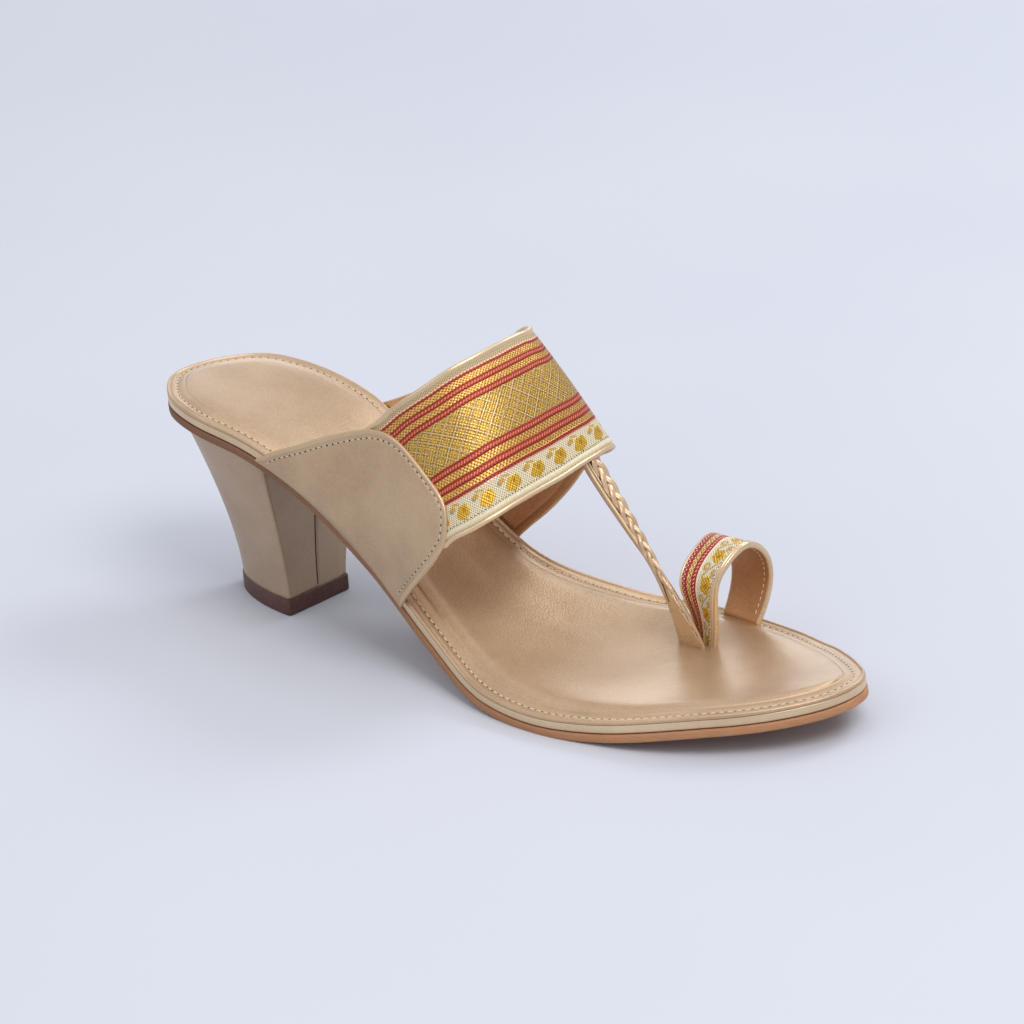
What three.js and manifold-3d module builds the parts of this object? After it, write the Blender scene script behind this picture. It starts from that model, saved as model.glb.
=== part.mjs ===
// Heeled kolhapuri sandal, right foot. Millimetres, +Z up.
// +X runs from the back of the heel to the toe, +Y is the medial (big toe) side.
// The shoe is laid out from x = 0 at the back of the heel seat; at the end the
// group is moved so that its box is centred on the origin and stands on z = 0.
import * as THREE from 'three';
import { mergeVertices } from 'three/addons/utils/BufferGeometryUtils.js';
import Module from 'manifold-3d';

// ---------------------------------------------------------------- sizes
const LENGTH = 240;            // heel back to toe tip, measured level
const FOOTBED = 1.35;          // padded top cover
const BOARD_TOP = 1.6, BOARD_BOTTOM = 3.5;   // wrapped insole board, depths below the footbed's top
const SOLE_TOP = 3.78, SOLE_BOTTOM = 6.14;   // outsole sheet
const SKEW = 0.30;             // how far the flex line leans across the ball
const FLAT_DEPTH = 0.42;       // the forefoot tread is flattened by this much where it meets the floor
const EDGE_SET = { footbed: 0.0, board: 0.55, outsole: 0.1 };   // each layer's edge, in from the outline
const STRAP_RECESS = 1.15;     // footbed and board are cut in here, where the upper wraps round them
const HEEL_GAP = 0.3;          // heel block below the outsole
const LIFT_HEIGHT = 5.13, LIFT_PROUD = 0.35, LIFT_GAP = 0.25;
const WALL = 1.9;              // upper: ribbon, stiffener and lining
const BASE_OUT = 1.1;          // the upper's outer face, out from the outline at its foot
const UPPER_DROP = 3.4;        // the upper's foot, below the footbed's top
const THONG_WALL = 1.6;
const LOOP_WALL = 1.7;
const TAB = 3.1;               // strap ends go this far down through their slots
const SLOT_GAP = 0.5;

// plan outline: half widths on the lateral and medial side
const OUTLINE = [
  { x: 0, lateral: 0, medial: 0 },
  { x: 4.8, lateral: 11.0, medial: 13.3 },
  { x: 14.4, lateral: 20.0, medial: 22.6 },
  { x: 28.8, lateral: 25.0, medial: 26.0 },
  { x: 48, lateral: 24.9, medial: 26.7 },
  { x: 72, lateral: 25.5, medial: 24.0 },
  { x: 96, lateral: 27.2, medial: 19.6 },
  { x: 120, lateral: 34.0, medial: 18.2 },
  { x: 144, lateral: 42.6, medial: 27.8 },
  { x: 163.2, lateral: 44.8, medial: 37.3 },
  { x: 180, lateral: 43.0, medial: 39.4 },
  { x: 196.8, lateral: 39.2, medial: 36.3 },
  { x: 211.2, lateral: 33.6, medial: 29.3 },
  { x: 223.2, lateral: 26.0, medial: 20.8 },
  { x: 232.8, lateral: 16.9, medial: 12.9 },
  { x: 237.6, lateral: 9.9, medial: 7.7 },
  { x: 240, lateral: 0, medial: 0 },
];
// height of the footbed's top along the shoe
const PROFILE = [
  { x: 0, z: 63.4 }, { x: 24, z: 62.9 }, { x: 48, z: 57.7 }, { x: 72, z: 47.3 },
  { x: 96, z: 32.6 }, { x: 120, z: 19.1 }, { x: 144, z: 9.5 }, { x: 168, z: 6.3 },
  { x: 192, z: 7.3 }, { x: 216, z: 11.5 }, { x: 240, z: 15.4 },
];
// crown line of the instep arch that the straps lie on
const CROWN = [
  { x: 50, z: 77.1 }, { x: 65, z: 95.0 }, { x: 80, z: 106.3 }, { x: 95, z: 110.1 }, { x: 110, z: 105.4 },
  { x: 120, z: 97.0 }, { x: 130, z: 84.4 }, { x: 140, z: 67.5 }, { x: 150, z: 46.4 },
];
const ARCH = { crownY: 8.68, crownSlope: 0.0022, lateralBulge: 4.66, lateralSlope: 0.0081, medialBulge: 12.92, medialSlope: -0.0466, lateralPower: 2.09, medialPower: 2.33 };
// back and front edges of the joined side panels and instep band, by the angle round the arch
// (0 at the lateral foot, 90 at the crown, 180 at the medial foot)
const STRAP = [
  { angle: 0, back: 50.0, front: 105.6 },
  { angle: 10, back: 57.2, front: 114.9 },
  { angle: 20, back: 73.0, front: 123.3 },
  { angle: 30, back: 92.2, front: 129.0 },
  { angle: 40, back: 102.3, front: 135.1 },
  { angle: 50, back: 110.4, front: 138.9 },
  { angle: 60, back: 115.6, front: 141.4 },
  { angle: 70, back: 119.3, front: 143.1 },
  { angle: 80, back: 121.2, front: 144.1 },
  { angle: 90, back: 121.9, front: 144.5 },
  { angle: 100, back: 121.7, front: 144.6 },
  { angle: 110, back: 119.8, front: 144.1 },
  { angle: 120, back: 116.2, front: 143.0 },
  { angle: 130, back: 111.3, front: 141.1 },
  { angle: 140, back: 104.8, front: 138.0 },
  { angle: 150, back: 94.2, front: 132.6 },
  { angle: 160, back: 82.0, front: 127.3 },
  { angle: 170, back: 65.5, front: 120.7 },
  { angle: 180, back: 53.0, front: 109.0 },
];
// thong, from under the band down to its slot: the strap's two edges at each height
const THONG = [
  { z: 70.0, leftX: 137.0, leftY: 9.8, rightX: 136.4, rightY: 16.2 },
  { z: 66.0, leftX: 139.1, leftY: 9.8, rightX: 138.5, rightY: 16.2 },
  { z: 62.0, leftX: 141.1, leftY: 9.8, rightX: 140.5, rightY: 16.1 },
  { z: 57.8, leftX: 143.1, leftY: 9.8, rightX: 142.8, rightY: 15.9 },
  { z: 50.0, leftX: 148.9, leftY: 9.6, rightX: 149.3, rightY: 14.8 },
  { z: 42.0, leftX: 155.5, leftY: 9.6, rightX: 156.4, rightY: 13.2 },
  { z: 34.5, leftX: 161.3, leftY: 9.8, rightX: 162.9, rightY: 11.8 },
  { z: 27.0, leftX: 166.1, leftY: 10.1, rightX: 169.1, rightY: 10.6 },
  { z: 20.0, leftX: 168.7, leftY: 10.6, rightX: 174.4, rightY: 10.1 },
  { z: 13.0, leftX: 170.1, leftY: 11.6, rightX: 177.9, rightY: 11.1 },
  { z: 6.4, leftX: 171.1, leftY: 12.4, rightX: 179.9, rightY: 12.5 },
];
// toe loop: where each edge leaves the footbed, how high it stands, how it leans and swells
const LOOP = [
  { edge: 'heel', nearX: 174.75, nearY: 15.6, farX: 170.2, farY: 36.8, height: 29.1, lean: -0.7, nearSwell: 7.6, farSwell: 7.1, power: 2.45 },
  { edge: 'toe', nearX: 181.9, nearY: 14.7, farX: 183.3, farY: 35.8, height: 29.7, lean: 4.3, nearSwell: 3.4, farSwell: 6.0, power: 2.37 },
];
// top lift plan: a D with its straight side to the toe
const LIFT = { breast: 52.7, depth: 31.1, half: 12.5, offset: 0.6, turn: -6.0, power: 1.1 };
// heel block at the seat: set in from the sole's edge, more at the back than at the sides
const HEEL = { breast: 50.6, edgeSet: 1.0, backSet: 4.8, swell: 1.42 };

// ---------------------------------------------------------------- small maths
const D2R = Math.PI / 180;
const clamp = (v, a, b) => Math.min(b, Math.max(a, v));
const smooth = (t) => { t = clamp(t, 0, 1); return t * t * (3 - 2 * t); };
const lerp = (a, b, t) => a + (b - a) * t;
// smooth curve through the rows of a table: value of column c at key k
function curve(rows, key, col, map = (v) => v) {
  const X = rows.map((r) => map(r[key])), Y = rows.map((r) => r[col]), n = X.length;
  const s = [], m = [];
  for (let i = 0; i < n - 1; i++) s.push((Y[i + 1] - Y[i]) / (X[i + 1] - X[i]));
  for (let i = 0; i < n; i++) {
    if (i === 0) m.push(n > 2 ? s[0] + (s[0] - s[1]) * (X[1] - X[0]) / (X[2] - X[0]) : s[0]);
    else if (i === n - 1) m.push(n > 2 ? s[n - 2] + (s[n - 2] - s[n - 3]) * (X[n - 1] - X[n - 2]) / (X[n - 1] - X[n - 3]) : s[n - 2]);
    else { const a = X[i] - X[i - 1], b = X[i + 1] - X[i]; m.push((s[i - 1] * b + s[i] * a) / (a + b)); }
  }
  return (x0) => {
    const x = clamp(map(x0), X[0], X[n - 1]);
    let i = 0; while (i < n - 2 && x > X[i + 1]) i++;
    const h = X[i + 1] - X[i], t = (x - X[i]) / h, t2 = t * t, t3 = t2 * t;
    return (2 * t3 - 3 * t2 + 1) * Y[i] + (t3 - 2 * t2 + t) * h * m[i] + (-2 * t3 + 3 * t2) * Y[i + 1] + (t3 - t2) * h * m[i + 1];
  };
}
const turnOf = (x) => Math.acos(clamp(1 - 2 * x / LENGTH, -1, 1)) / Math.PI;
const lateralAt = curve(OUTLINE, 'x', 'lateral', turnOf), medialAt = curve(OUTLINE, 'x', 'medial', turnOf);
const profileAt = curve(PROFILE, 'x', 'z'), crownAt = curve(CROWN, 'x', 'z');
const backAt = curve(STRAP, 'angle', 'back'), frontAt = curve(STRAP, 'angle', 'front');

// top of the footbed
function seat(x, y) {
  const g = smooth((x / LENGTH - 0.25) / 0.35), fade = clamp((LENGTH - x) / (0.12 * LENGTH), 0, 1);
  return profileAt(clamp(x - SKEW * g * fade * y, 0, LENGTH));
}
function seatNormal(x, y) {
  const d = 0.25, gx = (seat(x + d, y) - seat(x - d, y)) / (2 * d), gy = (seat(x, y + d) - seat(x, y - d)) / (2 * d);
  return new THREE.Vector3(-gx, -gy, 1).normalize();
}
// point on the plan outline, u from 0 at the heel to 1 at the toe, side -1 lateral, +1 medial
function outlinePoint(u, side, inset) {
  const at = (w) => { const x = LENGTH * (1 - Math.cos(Math.PI * w)) / 2; return [x, side * (side < 0 ? lateralAt(x) : medialAt(x))]; };
  const e = 0.004, p = at(u), a = u - e < 0 ? [at(e)[0], -at(e)[1]] : at(u - e), b = u + e > 1 ? [at(1 - e)[0], -at(1 - e)[1]] : at(u + e);
  let tx = b[0] - a[0], ty = b[1] - a[1]; const l = Math.hypot(tx, ty); tx /= l; ty /= l;
  return [p[0] + side * ty * inset, p[1] - side * tx * inset];
}
// extra cut-in of footbed and board under the upper
const recess = (x) => STRAP_RECESS * smooth((x - 42) / 6) * smooth((121 - x) / 8);

// ---------------------------------------------------------------- meshes
function solidFrom(points, faces) {
  const g = new THREE.BufferGeometry();
  g.setAttribute('position', new THREE.Float32BufferAttribute(points.flatMap((p) => [p.x, p.y, p.z]), 3));
  g.setIndex(faces.flat());
  const m = mergeVertices(g, 1e-4), idx = m.getIndex().array, pos = m.getAttribute('position').array, keep = [];
  for (let i = 0; i < idx.length; i += 3) if (idx[i] !== idx[i + 1] && idx[i + 1] !== idx[i + 2] && idx[i] !== idx[i + 2]) keep.push(idx[i], idx[i + 1], idx[i + 2]);
  // turn every face outwards
  let vol = 0;
  for (let i = 0; i < keep.length; i += 3) {
    const [a, b, c] = [keep[i], keep[i + 1], keep[i + 2]].map((k) => new THREE.Vector3(pos[3 * k], pos[3 * k + 1], pos[3 * k + 2]));
    vol += a.dot(b.cross(c)) / 6;
  }
  if (vol < 0) for (let i = 0; i < keep.length; i += 3) { const t = keep[i]; keep[i] = keep[i + 1]; keep[i + 1] = t; }
  m.setIndex(keep); m.computeVertexNormals();
  return m;
}
// closed sheet from an upper and a lower grid of points (rows x columns)
function sheet(top, bottom) {
  const R = top.length, C = top[0].length, pts = [...top.flat(), ...bottom.flat()], f = [], B = R * C;
  const q = (a, b, c, d) => f.push([a, b, c], [a, c, d]);
  for (let i = 0; i < R - 1; i++) for (let j = 0; j < C - 1; j++) {
    const a = i * C + j, b = a + C; q(a, b, b + 1, a + 1); q(B + a, B + a + 1, B + b + 1, B + b);
  }
  for (let i = 0; i < R - 1; i++) {
    const a = i * C, b = a + C; q(a, B + a, B + b, b);
    const c = i * C + C - 1, d = c + C; q(c, d, B + d, B + c);
  }
  for (let j = 0; j < C - 1; j++) { q(j, j + 1, B + j + 1, B + j); const a = (R - 1) * C + j; q(a, B + a, B + a + 1, a + 1); }
  return solidFrom(pts, f);
}
const ROWS = 40, COLS = 6;
function layerPoint(u, v, depth, inset, cut) {
  const at = (side) => { const x = LENGTH * (1 - Math.cos(Math.PI * u)) / 2; return outlinePoint(u, side, inset + (cut ? recess(x) : 0)); };
  const a = at(-1), b = at(1), x = lerp(a[0], b[0], (v + 1) / 2), y = lerp(a[1], b[1], (v + 1) / 2);
  return new THREE.Vector3(x, y, seat(x, y)).addScaledVector(seatNormal(x, y), -depth);
}
function layerGrid(depth, inset, cut) {
  const rows = [];
  for (let i = 0; i <= ROWS; i++) {
    const u = i / ROWS, row = [];
    for (let j = 0; j <= COLS; j++) row.push(i === 0 || i === ROWS ? layerPoint(u, 0, depth, inset, cut) : layerPoint(u, -Math.cos(Math.PI * j / COLS), depth, inset, cut));
    rows.push(row);
  }
  return rows;
}
// the floor, in the shoe's own height
const treadGrid = layerGrid(SOLE_BOTTOM, EDGE_SET.outsole, false);
const GROUND = Math.min(...treadGrid.flat().map((p) => p.z)) + FLAT_DEPTH;
treadGrid.flat().forEach((p) => { if (p.z < GROUND) p.z = GROUND; });

// ---------------------------------------------------------------- joining and cutting
const wasm = await Module(); wasm.setup();
function toSolid(g) {
  const h = g.clone(); h.deleteAttribute('normal'); if (h.getAttribute('uv')) h.deleteAttribute('uv');
  const m = mergeVertices(h, 1e-4);
  return new wasm.Manifold(new wasm.Mesh({ numProp: 3, vertProperties: new Float32Array(m.getAttribute('position').array), triVerts: new Uint32Array(m.getIndex().array) }));
}
function fromSolid(s) {
  const m = s.getMesh(), g = new THREE.BufferGeometry();
  g.setAttribute('position', new THREE.Float32BufferAttribute(Array.from(m.vertProperties), 3));
  g.setIndex(Array.from(m.triVerts)); g.computeVertexNormals();
  return g;
}
// upright prism over a convex plan polygon, every side moved out by gap
function prism(corners, gap, z0, z1) {
  const n = corners.length, area = corners.reduce((s, p, i) => { const q = corners[(i + 1) % n]; return s + p[0] * q[1] - q[0] * p[1]; }, 0);
  const side = (i) => { const p = corners[i], q = corners[(i + 1) % n], l = Math.hypot(q[0] - p[0], q[1] - p[1]); return [(q[1] - p[1]) / l * Math.sign(area), -(q[0] - p[0]) / l * Math.sign(area)]; };
  const grown = corners.map((p, i) => {
    const a = side((i + n - 1) % n), b = side(i), k = gap / (1 + a[0] * b[0] + a[1] * b[1]);
    return new THREE.Vector2(p[0] + (a[0] + b[0]) * k, p[1] + (a[1] + b[1]) * k);
  });
  const g = new THREE.ExtrudeGeometry(new THREE.Shape(grown), { depth: z1 - z0, bevelEnabled: false }); g.translate(0, 0, z0);
  return g;
}

// ---------------------------------------------------------------- toe loop
function loopEdge(row, a) {   // a from 0 (beside the thong) to pi (medial side)
  const c = Math.cos(a), s = Math.max(Math.sin(a), 0), h = s ** (2 / row.power), m = (1 - Math.abs(c) ** (2 / row.power) * Math.sign(c)) / 2;
  const near = 9.48 * h ** 3 * (1 - h), far = 3.6 * h * (1 - h);
  const y = lerp(row.nearY, row.farY, m) + (c > 0 ? -row.nearSwell * near : row.farSwell * far);
  const x = lerp(row.nearX, row.farX, m) + row.lean * h;
  return new THREE.Vector3(x, y, seat(x, y) * (1 - h) + (seat(row.nearX, row.nearY) + row.height) * h);
}
function loopPoint(k, a, off) {
  const p = (kk, aa) => loopEdge(LOOP[0], aa).lerp(loopEdge(LOOP[1], aa), kk);
  const e = 0.02, o = p(k, a), da = p(k, Math.min(Math.PI - 0.001, a + e)).sub(p(k, Math.max(0.001, a - e))), dk = p(1, a).sub(p(0, a));
  const n = dk.cross(da).normalize(); n.z = a < 0.03 || a > Math.PI - 0.03 ? 0 : n.z; n.normalize();
  return o.addScaledVector(n, off);
}
function loopGrid(off) {
  const rows = [], N = 26, K = 4;
  const end = (a) => { const r = []; for (let j = 0; j <= K; j++) { const p = loopPoint(j / K, a, off); p.z -= TAB; r.push(p); } return r; };
  rows.push(end(0));
  for (let i = 0; i <= N; i++) { const r = []; for (let j = 0; j <= K; j++) r.push(loopPoint(j / K, Math.PI * i / N, off)); rows.push(r); }
  rows.push(end(Math.PI));
  return rows;
}
const loopSign = loopPoint(0.5, Math.PI / 2, 1).z > loopPoint(0.5, Math.PI / 2, 0).z ? -1 : 1;
const loopGeo = sheet(loopGrid(0), loopGrid(loopSign * LOOP_WALL));
const loopFoot = (a) => [loopPoint(0, a, 0), loopPoint(1, a, 0), loopPoint(1, a, loopSign * LOOP_WALL), loopPoint(0, a, loopSign * LOOP_WALL)].map((p) => [p.x, p.y]);

// ---------------------------------------------------------------- upper
function archPoint(x, a) {
  const t = x - 100, yc = ARCH.crownY + ARCH.crownSlope * t, zc = crownAt(x);
  const yl = lateralAt(x) + BASE_OUT, ym = medialAt(x) + BASE_OUT;
  const c = Math.cos(a), s = Math.max(Math.sin(a), 0), lat = c >= 0, p = lat ? ARCH.lateralPower : ARCH.medialPower;
  const h = s ** (2 / p), w = Math.abs(c) ** (2 / p), tuck = (1 - h) ** 2;
  const zb = lat ? seat(x, -yl) - UPPER_DROP : seat(x, ym) - UPPER_DROP;
  const bulge = lat ? ARCH.lateralBulge + ARCH.lateralSlope * t : ARCH.medialBulge + ARCH.medialSlope * t;
  const y = lat ? yc - (yc + yl + bulge) * w + bulge * tuck : yc + (ym - yc + bulge) * w - bulge * tuck;
  return new THREE.Vector3(x, y, zb + (zc - zb) * h);
}
function strapPoint(w, a, off) {
  const deg = a / D2R, x = lerp(backAt(deg), frontAt(deg), w), o = archPoint(x, a);
  const e = 0.012, a0 = clamp(a - e, 0.004, Math.PI - 0.004), a1 = clamp(a + e, 0.004, Math.PI - 0.004);
  const n = archPoint(x + 0.4, a).sub(archPoint(x - 0.4, a)).cross(archPoint(x, a1).sub(archPoint(x, a0))).normalize();
  return o.addScaledVector(n, -off);
}
function strapGrid(off) {
  const rows = [], N = 40, K = 8;
  for (let i = 0; i <= N; i++) { const r = []; for (let j = 0; j <= K; j++) r.push(strapPoint(j / K, Math.PI * i / N, off)); rows.push(r); }
  return rows;
}
const bandGeo = sheet(strapGrid(0), strapGrid(WALL));
function thongGrid(off) {
  const rows = [...THONG, { ...THONG[THONG.length - 1], z: THONG[THONG.length - 1].z - TAB }];
  return rows.map((r, i) => {
    const mid = (k) => new THREE.Vector3((rows[k].leftX + rows[k].rightX) / 2, (rows[k].leftY + rows[k].rightY) / 2, rows[k].z);
    const t = mid(Math.min(rows.length - 1, i + 1)).sub(mid(Math.max(0, i - 1))), L = new THREE.Vector3(r.leftX, r.leftY, r.z), Rr = new THREE.Vector3(r.rightX, r.rightY, r.z);
    const n = t.cross(Rr.clone().sub(L)).normalize();
    if (i >= rows.length - 2) { n.z = 0; n.normalize(); }
    return [0, 0.5, 1].map((k) => L.clone().lerp(Rr, k).addScaledVector(n, -off));
  });
}
const thongGeo = sheet(thongGrid(0), thongGrid(THONG_WALL));
const upperGeo = fromSolid(toSolid(bandGeo).add(toSolid(thongGeo)));
const thongFoot = [...thongGrid(0).at(-1).filter((_, i) => i !== 1), ...thongGrid(THONG_WALL).at(-1).filter((_, i) => i !== 1).reverse()].map((p) => [p.x, p.y]);

// ---------------------------------------------------------------- sole layers
const slots = [prism(thongFoot, SLOT_GAP, -8, 16), prism(loopFoot(0.004), SLOT_GAP, -8, 16), prism(loopFoot(Math.PI - 0.004), SLOT_GAP, -8, 16)].map(toSolid);
const slotted = (g) => fromSolid(slots.reduce((s, c) => s.subtract(c), toSolid(g)));
const footbedGeo = slotted(sheet(layerGrid(0, EDGE_SET.footbed, true), layerGrid(FOOTBED, EDGE_SET.footbed, true)));
const boardGeo = slotted(sheet(layerGrid(BOARD_TOP, EDGE_SET.board, true), layerGrid(BOARD_BOTTOM, EDGE_SET.board, true)));
const outsoleGeo = sheet(layerGrid(SOLE_TOP, EDGE_SET.outsole, false), treadGrid);

// ---------------------------------------------------------------- heel
// D-shaped plan of the lift: rim point at parameter s, from the lateral breast corner round the back to the medial one
const SIDE = 12, BREAST = 4;
function liftRim(inset) {
  const pts = [], t = LIFT.turn * D2R, put = (x, y) => pts.push([x * Math.cos(t) - y * Math.sin(t), x * Math.sin(t) + y * Math.cos(t) + LIFT.offset]);
  const W = LIFT.half - inset, D = LIFT.depth - 2 * inset, B = LIFT.breast - inset;
  for (let i = 0; i <= 2 * SIDE; i++) { const a = Math.PI / 2 * i / SIDE, c = Math.cos(a); put(B - D * Math.max(Math.sin(a), 0) ** LIFT.power, -W * Math.sign(c) * Math.abs(c) ** LIFT.power); }
  for (let i = 1; i < BREAST; i++) put(B, lerp(W, -W, i / BREAST));
  return pts;
}
function underSole(x, y, gap) {   // underside of the outsole above a plan point
  let px = x, py = y, p;
  for (let k = 0; k < 6; k++) { p = new THREE.Vector3(px, py, seat(px, py)).addScaledVector(seatNormal(px, py), -(SOLE_BOTTOM + gap)); px += x - p.x; py += y - p.y; }
  return p.z;
}
function seatRim() {
  const pts = [], B = HEEL.breast;
  for (let i = 0; i <= 2 * SIDE; i++) {
    const a = Math.PI / 2 * i / SIDE, side = i <= SIDE ? -1 : 1, x = B * (1 - Math.max(Math.sin(a), 0) ** LIFT.power);
    const set = HEEL.edgeSet + HEEL.backSet * Math.max(Math.sin(a), 0) ** 3;
    const [px, py] = outlinePoint(turnOf(Math.max(x, 0)), side, set); pts.push([i === SIDE ? set : px, i === SIDE ? 0 : py]);
  }
  const m = pts.at(-1), l = pts[0];
  for (let i = 1; i < BREAST; i++) pts.push([lerp(m[0], l[0], i / BREAST), lerp(m[1], l[1], i / BREAST)]);
  return pts;
}
function ringSolid(rings, capLow, capHigh) {   // rings from low to high, caps are lists of inner rings ending in one point
  const all = [...[...capLow].reverse(), ...rings, ...capHigh], pts = all.flat(), f = [], n = rings[0].length;
  const start = []; let k = 0; all.forEach((r) => { start.push(k); k += r.length; });
  for (let i = 0; i < all.length - 1; i++) for (let j = 0; j < n; j++) {
    const a = all[i], b = all[i + 1], j2 = (j + 1) % n;
    const A = start[i] + (a.length > 1 ? j : 0), A2 = start[i] + (a.length > 1 ? j2 : 0), B = start[i + 1] + (b.length > 1 ? j : 0), B2 = start[i + 1] + (b.length > 1 ? j2 : 0);
    if (a.length > 1) f.push([A, A2, B2]); if (b.length > 1) f.push([A, B2, B]);
  }
  return solidFrom(pts, f);
}
const V = (x, y, z) => new THREE.Vector3(x, y, z);
const low = liftRim(LIFT_PROUD), high = seatRim(), LEVELS = 9, liftTop = GROUND + LIFT_HEIGHT, blockBase = liftTop + LIFT_GAP;
const heelRings = [];
for (let i = 0; i <= LEVELS; i++) {
  const t = i / LEVELS, g = t ** HEEL.swell;
  heelRings.push(low.map(([x, y], j) => { const [hx, hy] = high[j]; return V(lerp(x, hx, g), lerp(y, hy, g), lerp(blockBase, underSole(hx, hy, HEEL_GAP), t)); }));
}
const hc = [24, 1], shrink = (ring, r, zf) => ring.map((p) => { const x = lerp(hc[0], p[0], r), y = lerp(hc[1], p[1], r); return V(x, y, zf(x, y)); });
const heelGeo = ringSolid(heelRings, [[V(36, -2, blockBase)]],
  [shrink(high, 0.72, (x, y) => underSole(x, y, HEEL_GAP)), shrink(high, 0.4, (x, y) => underSole(x, y, HEEL_GAP)), [V(hc[0], hc[1], underSole(hc[0], hc[1], HEEL_GAP))]]);
const rim = liftRim(0);
const liftGeo = ringSolid([rim.map(([x, y]) => V(x, y, GROUND)), rim.map(([x, y]) => V(x, y, liftTop))], [[V(36, -2, GROUND)]], [[V(36, -2, liftTop)]]);

// ---------------------------------------------------------------- assembly
const finish = {
  footbed: { color: 0xc9ae8b, roughness: 0.38, metalness: 0.55 },
  board: { color: 0xb89f7f, roughness: 0.42, metalness: 0.55 },
  outsole: { color: 0xb07c52, roughness: 0.8, metalness: 0 },
  heel: { color: 0xa28c70, roughness: 0.42, metalness: 0.5 },
  lift: { color: 0x4a2a20, roughness: 0.55, metalness: 0 },
  upper: { color: 0xb89f7f, roughness: 0.45, metalness: 0.5 },
  loop: { color: 0xc79a44, roughness: 0.6, metalness: 0.3 },
};
const sandal = new THREE.Group();
const add = (name, geo, look) => { const m = new THREE.Mesh(geo, new THREE.MeshStandardMaterial(look)); m.name = name; sandal.add(m); };
add('outsole', outsoleGeo, finish.outsole);
add('insole_board', boardGeo, finish.board);
add('footbed', footbedGeo, finish.footbed);
add('heel_block', heelGeo, finish.heel);
add('top_lift', liftGeo, finish.lift);
add('upper', upperGeo, finish.upper);
add('toe_loop', loopGeo, finish.loop);
const box = new THREE.Box3().setFromObject(sandal);
sandal.position.set(-(box.min.x + box.max.x) / 2, -(box.min.y + box.max.y) / 2, -box.min.z);
sandal.updateMatrixWorld(true);
export default sandal;
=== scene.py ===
import math

import bmesh
import bpy
import numpy as np
from mathutils import Matrix, Vector


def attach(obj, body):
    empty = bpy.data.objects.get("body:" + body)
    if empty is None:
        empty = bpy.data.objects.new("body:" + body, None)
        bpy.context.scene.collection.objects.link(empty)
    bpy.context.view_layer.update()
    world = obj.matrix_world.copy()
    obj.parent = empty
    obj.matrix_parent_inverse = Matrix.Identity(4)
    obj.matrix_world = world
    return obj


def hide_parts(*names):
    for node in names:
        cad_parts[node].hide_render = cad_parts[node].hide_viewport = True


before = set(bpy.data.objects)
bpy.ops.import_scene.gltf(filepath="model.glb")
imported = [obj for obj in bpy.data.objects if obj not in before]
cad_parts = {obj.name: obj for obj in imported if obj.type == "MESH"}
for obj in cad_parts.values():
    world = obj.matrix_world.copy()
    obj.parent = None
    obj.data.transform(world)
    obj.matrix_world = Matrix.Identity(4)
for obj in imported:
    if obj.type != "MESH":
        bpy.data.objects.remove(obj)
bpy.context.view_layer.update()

# The shoe is laid out in millimetres: x from the back of the heel to the toe, y to the medial
# side, z up. OFF moves it into the row's frame, and everything is made in metres there.
OFF = np.array([-120.28398, 1.13117, -0.45882])
BODY = "root"

# ------------------------------------------------------------------ camera
def add_camera():
    a, e, r = math.radians(38.90879), math.radians(22.73), math.radians(-4.00905)
    right = np.array([math.cos(a), math.sin(a), 0.0])
    fwd = np.array([-math.sin(a) * math.cos(e), math.cos(a) * math.cos(e), -math.sin(e)])
    up = np.array([-math.sin(a) * math.sin(e), math.cos(a) * math.sin(e), math.cos(e)])
    ix, iy = right * math.cos(r) + up * math.sin(r), -right * math.sin(r) + up * math.cos(r)
    at = (np.array([877.2564, -933.6336, 545.0855]) + OFF) / 1000
    cam = bpy.data.cameras.new("camera"); cam.lens = 160.45; cam.sensor_width = 36.0; cam.clip_end = 20
    ob = bpy.data.objects.new("camera", cam); bpy.context.scene.collection.objects.link(ob)
    ob.matrix_world = Matrix([[ix[0], iy[0], -fwd[0], at[0]], [ix[1], iy[1], -fwd[1], at[1]], [ix[2], iy[2], -fwd[2], at[2]], [0, 0, 0, 1]])
    bpy.context.scene.camera = ob


add_camera()

# ------------------------------------------------------------------ the shoe's own sizes (as in the CAD)
LENGTH, SKEW, FLAT_DEPTH, SOLE_BOTTOM = 240.0, 0.30, 0.42, 6.14
WALL, BASE_OUT, UPPER_DROP = 1.9, 1.1, 3.4
OUTLINE = np.array([[0, 0, 0], [4.8, 11.0, 13.3], [14.4, 20.0, 22.6], [28.8, 25.0, 26.0], [48, 24.9, 26.7], [72, 25.5, 24.0], [96, 27.2, 19.6],
                    [120, 34.0, 18.2], [144, 42.6, 27.8], [163.2, 44.8, 37.3], [180, 43.0, 39.4], [196.8, 39.2, 36.3], [211.2, 33.6, 29.3],
                    [223.2, 26.0, 20.8], [232.8, 16.9, 12.9], [237.6, 9.9, 7.7], [240, 0, 0]], float)
PROFILE = np.array([[0, 63.4], [24, 62.9], [48, 57.7], [72, 47.3], [96, 32.6], [120, 19.1], [144, 9.5], [168, 6.3], [192, 7.3], [216, 11.5], [240, 15.4]], float)
CROWN = np.array([[50, 77.1], [65, 95.0], [80, 106.3], [95, 110.1], [110, 105.4], [120, 97.0], [130, 84.4], [140, 67.5], [150, 46.4]], float)
ARCH = dict(crownY=8.68, crownSlope=0.0022, lateralBulge=4.66, lateralSlope=0.0081, medialBulge=12.92, medialSlope=-0.0466, lateralPower=2.09, medialPower=2.33)
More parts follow.
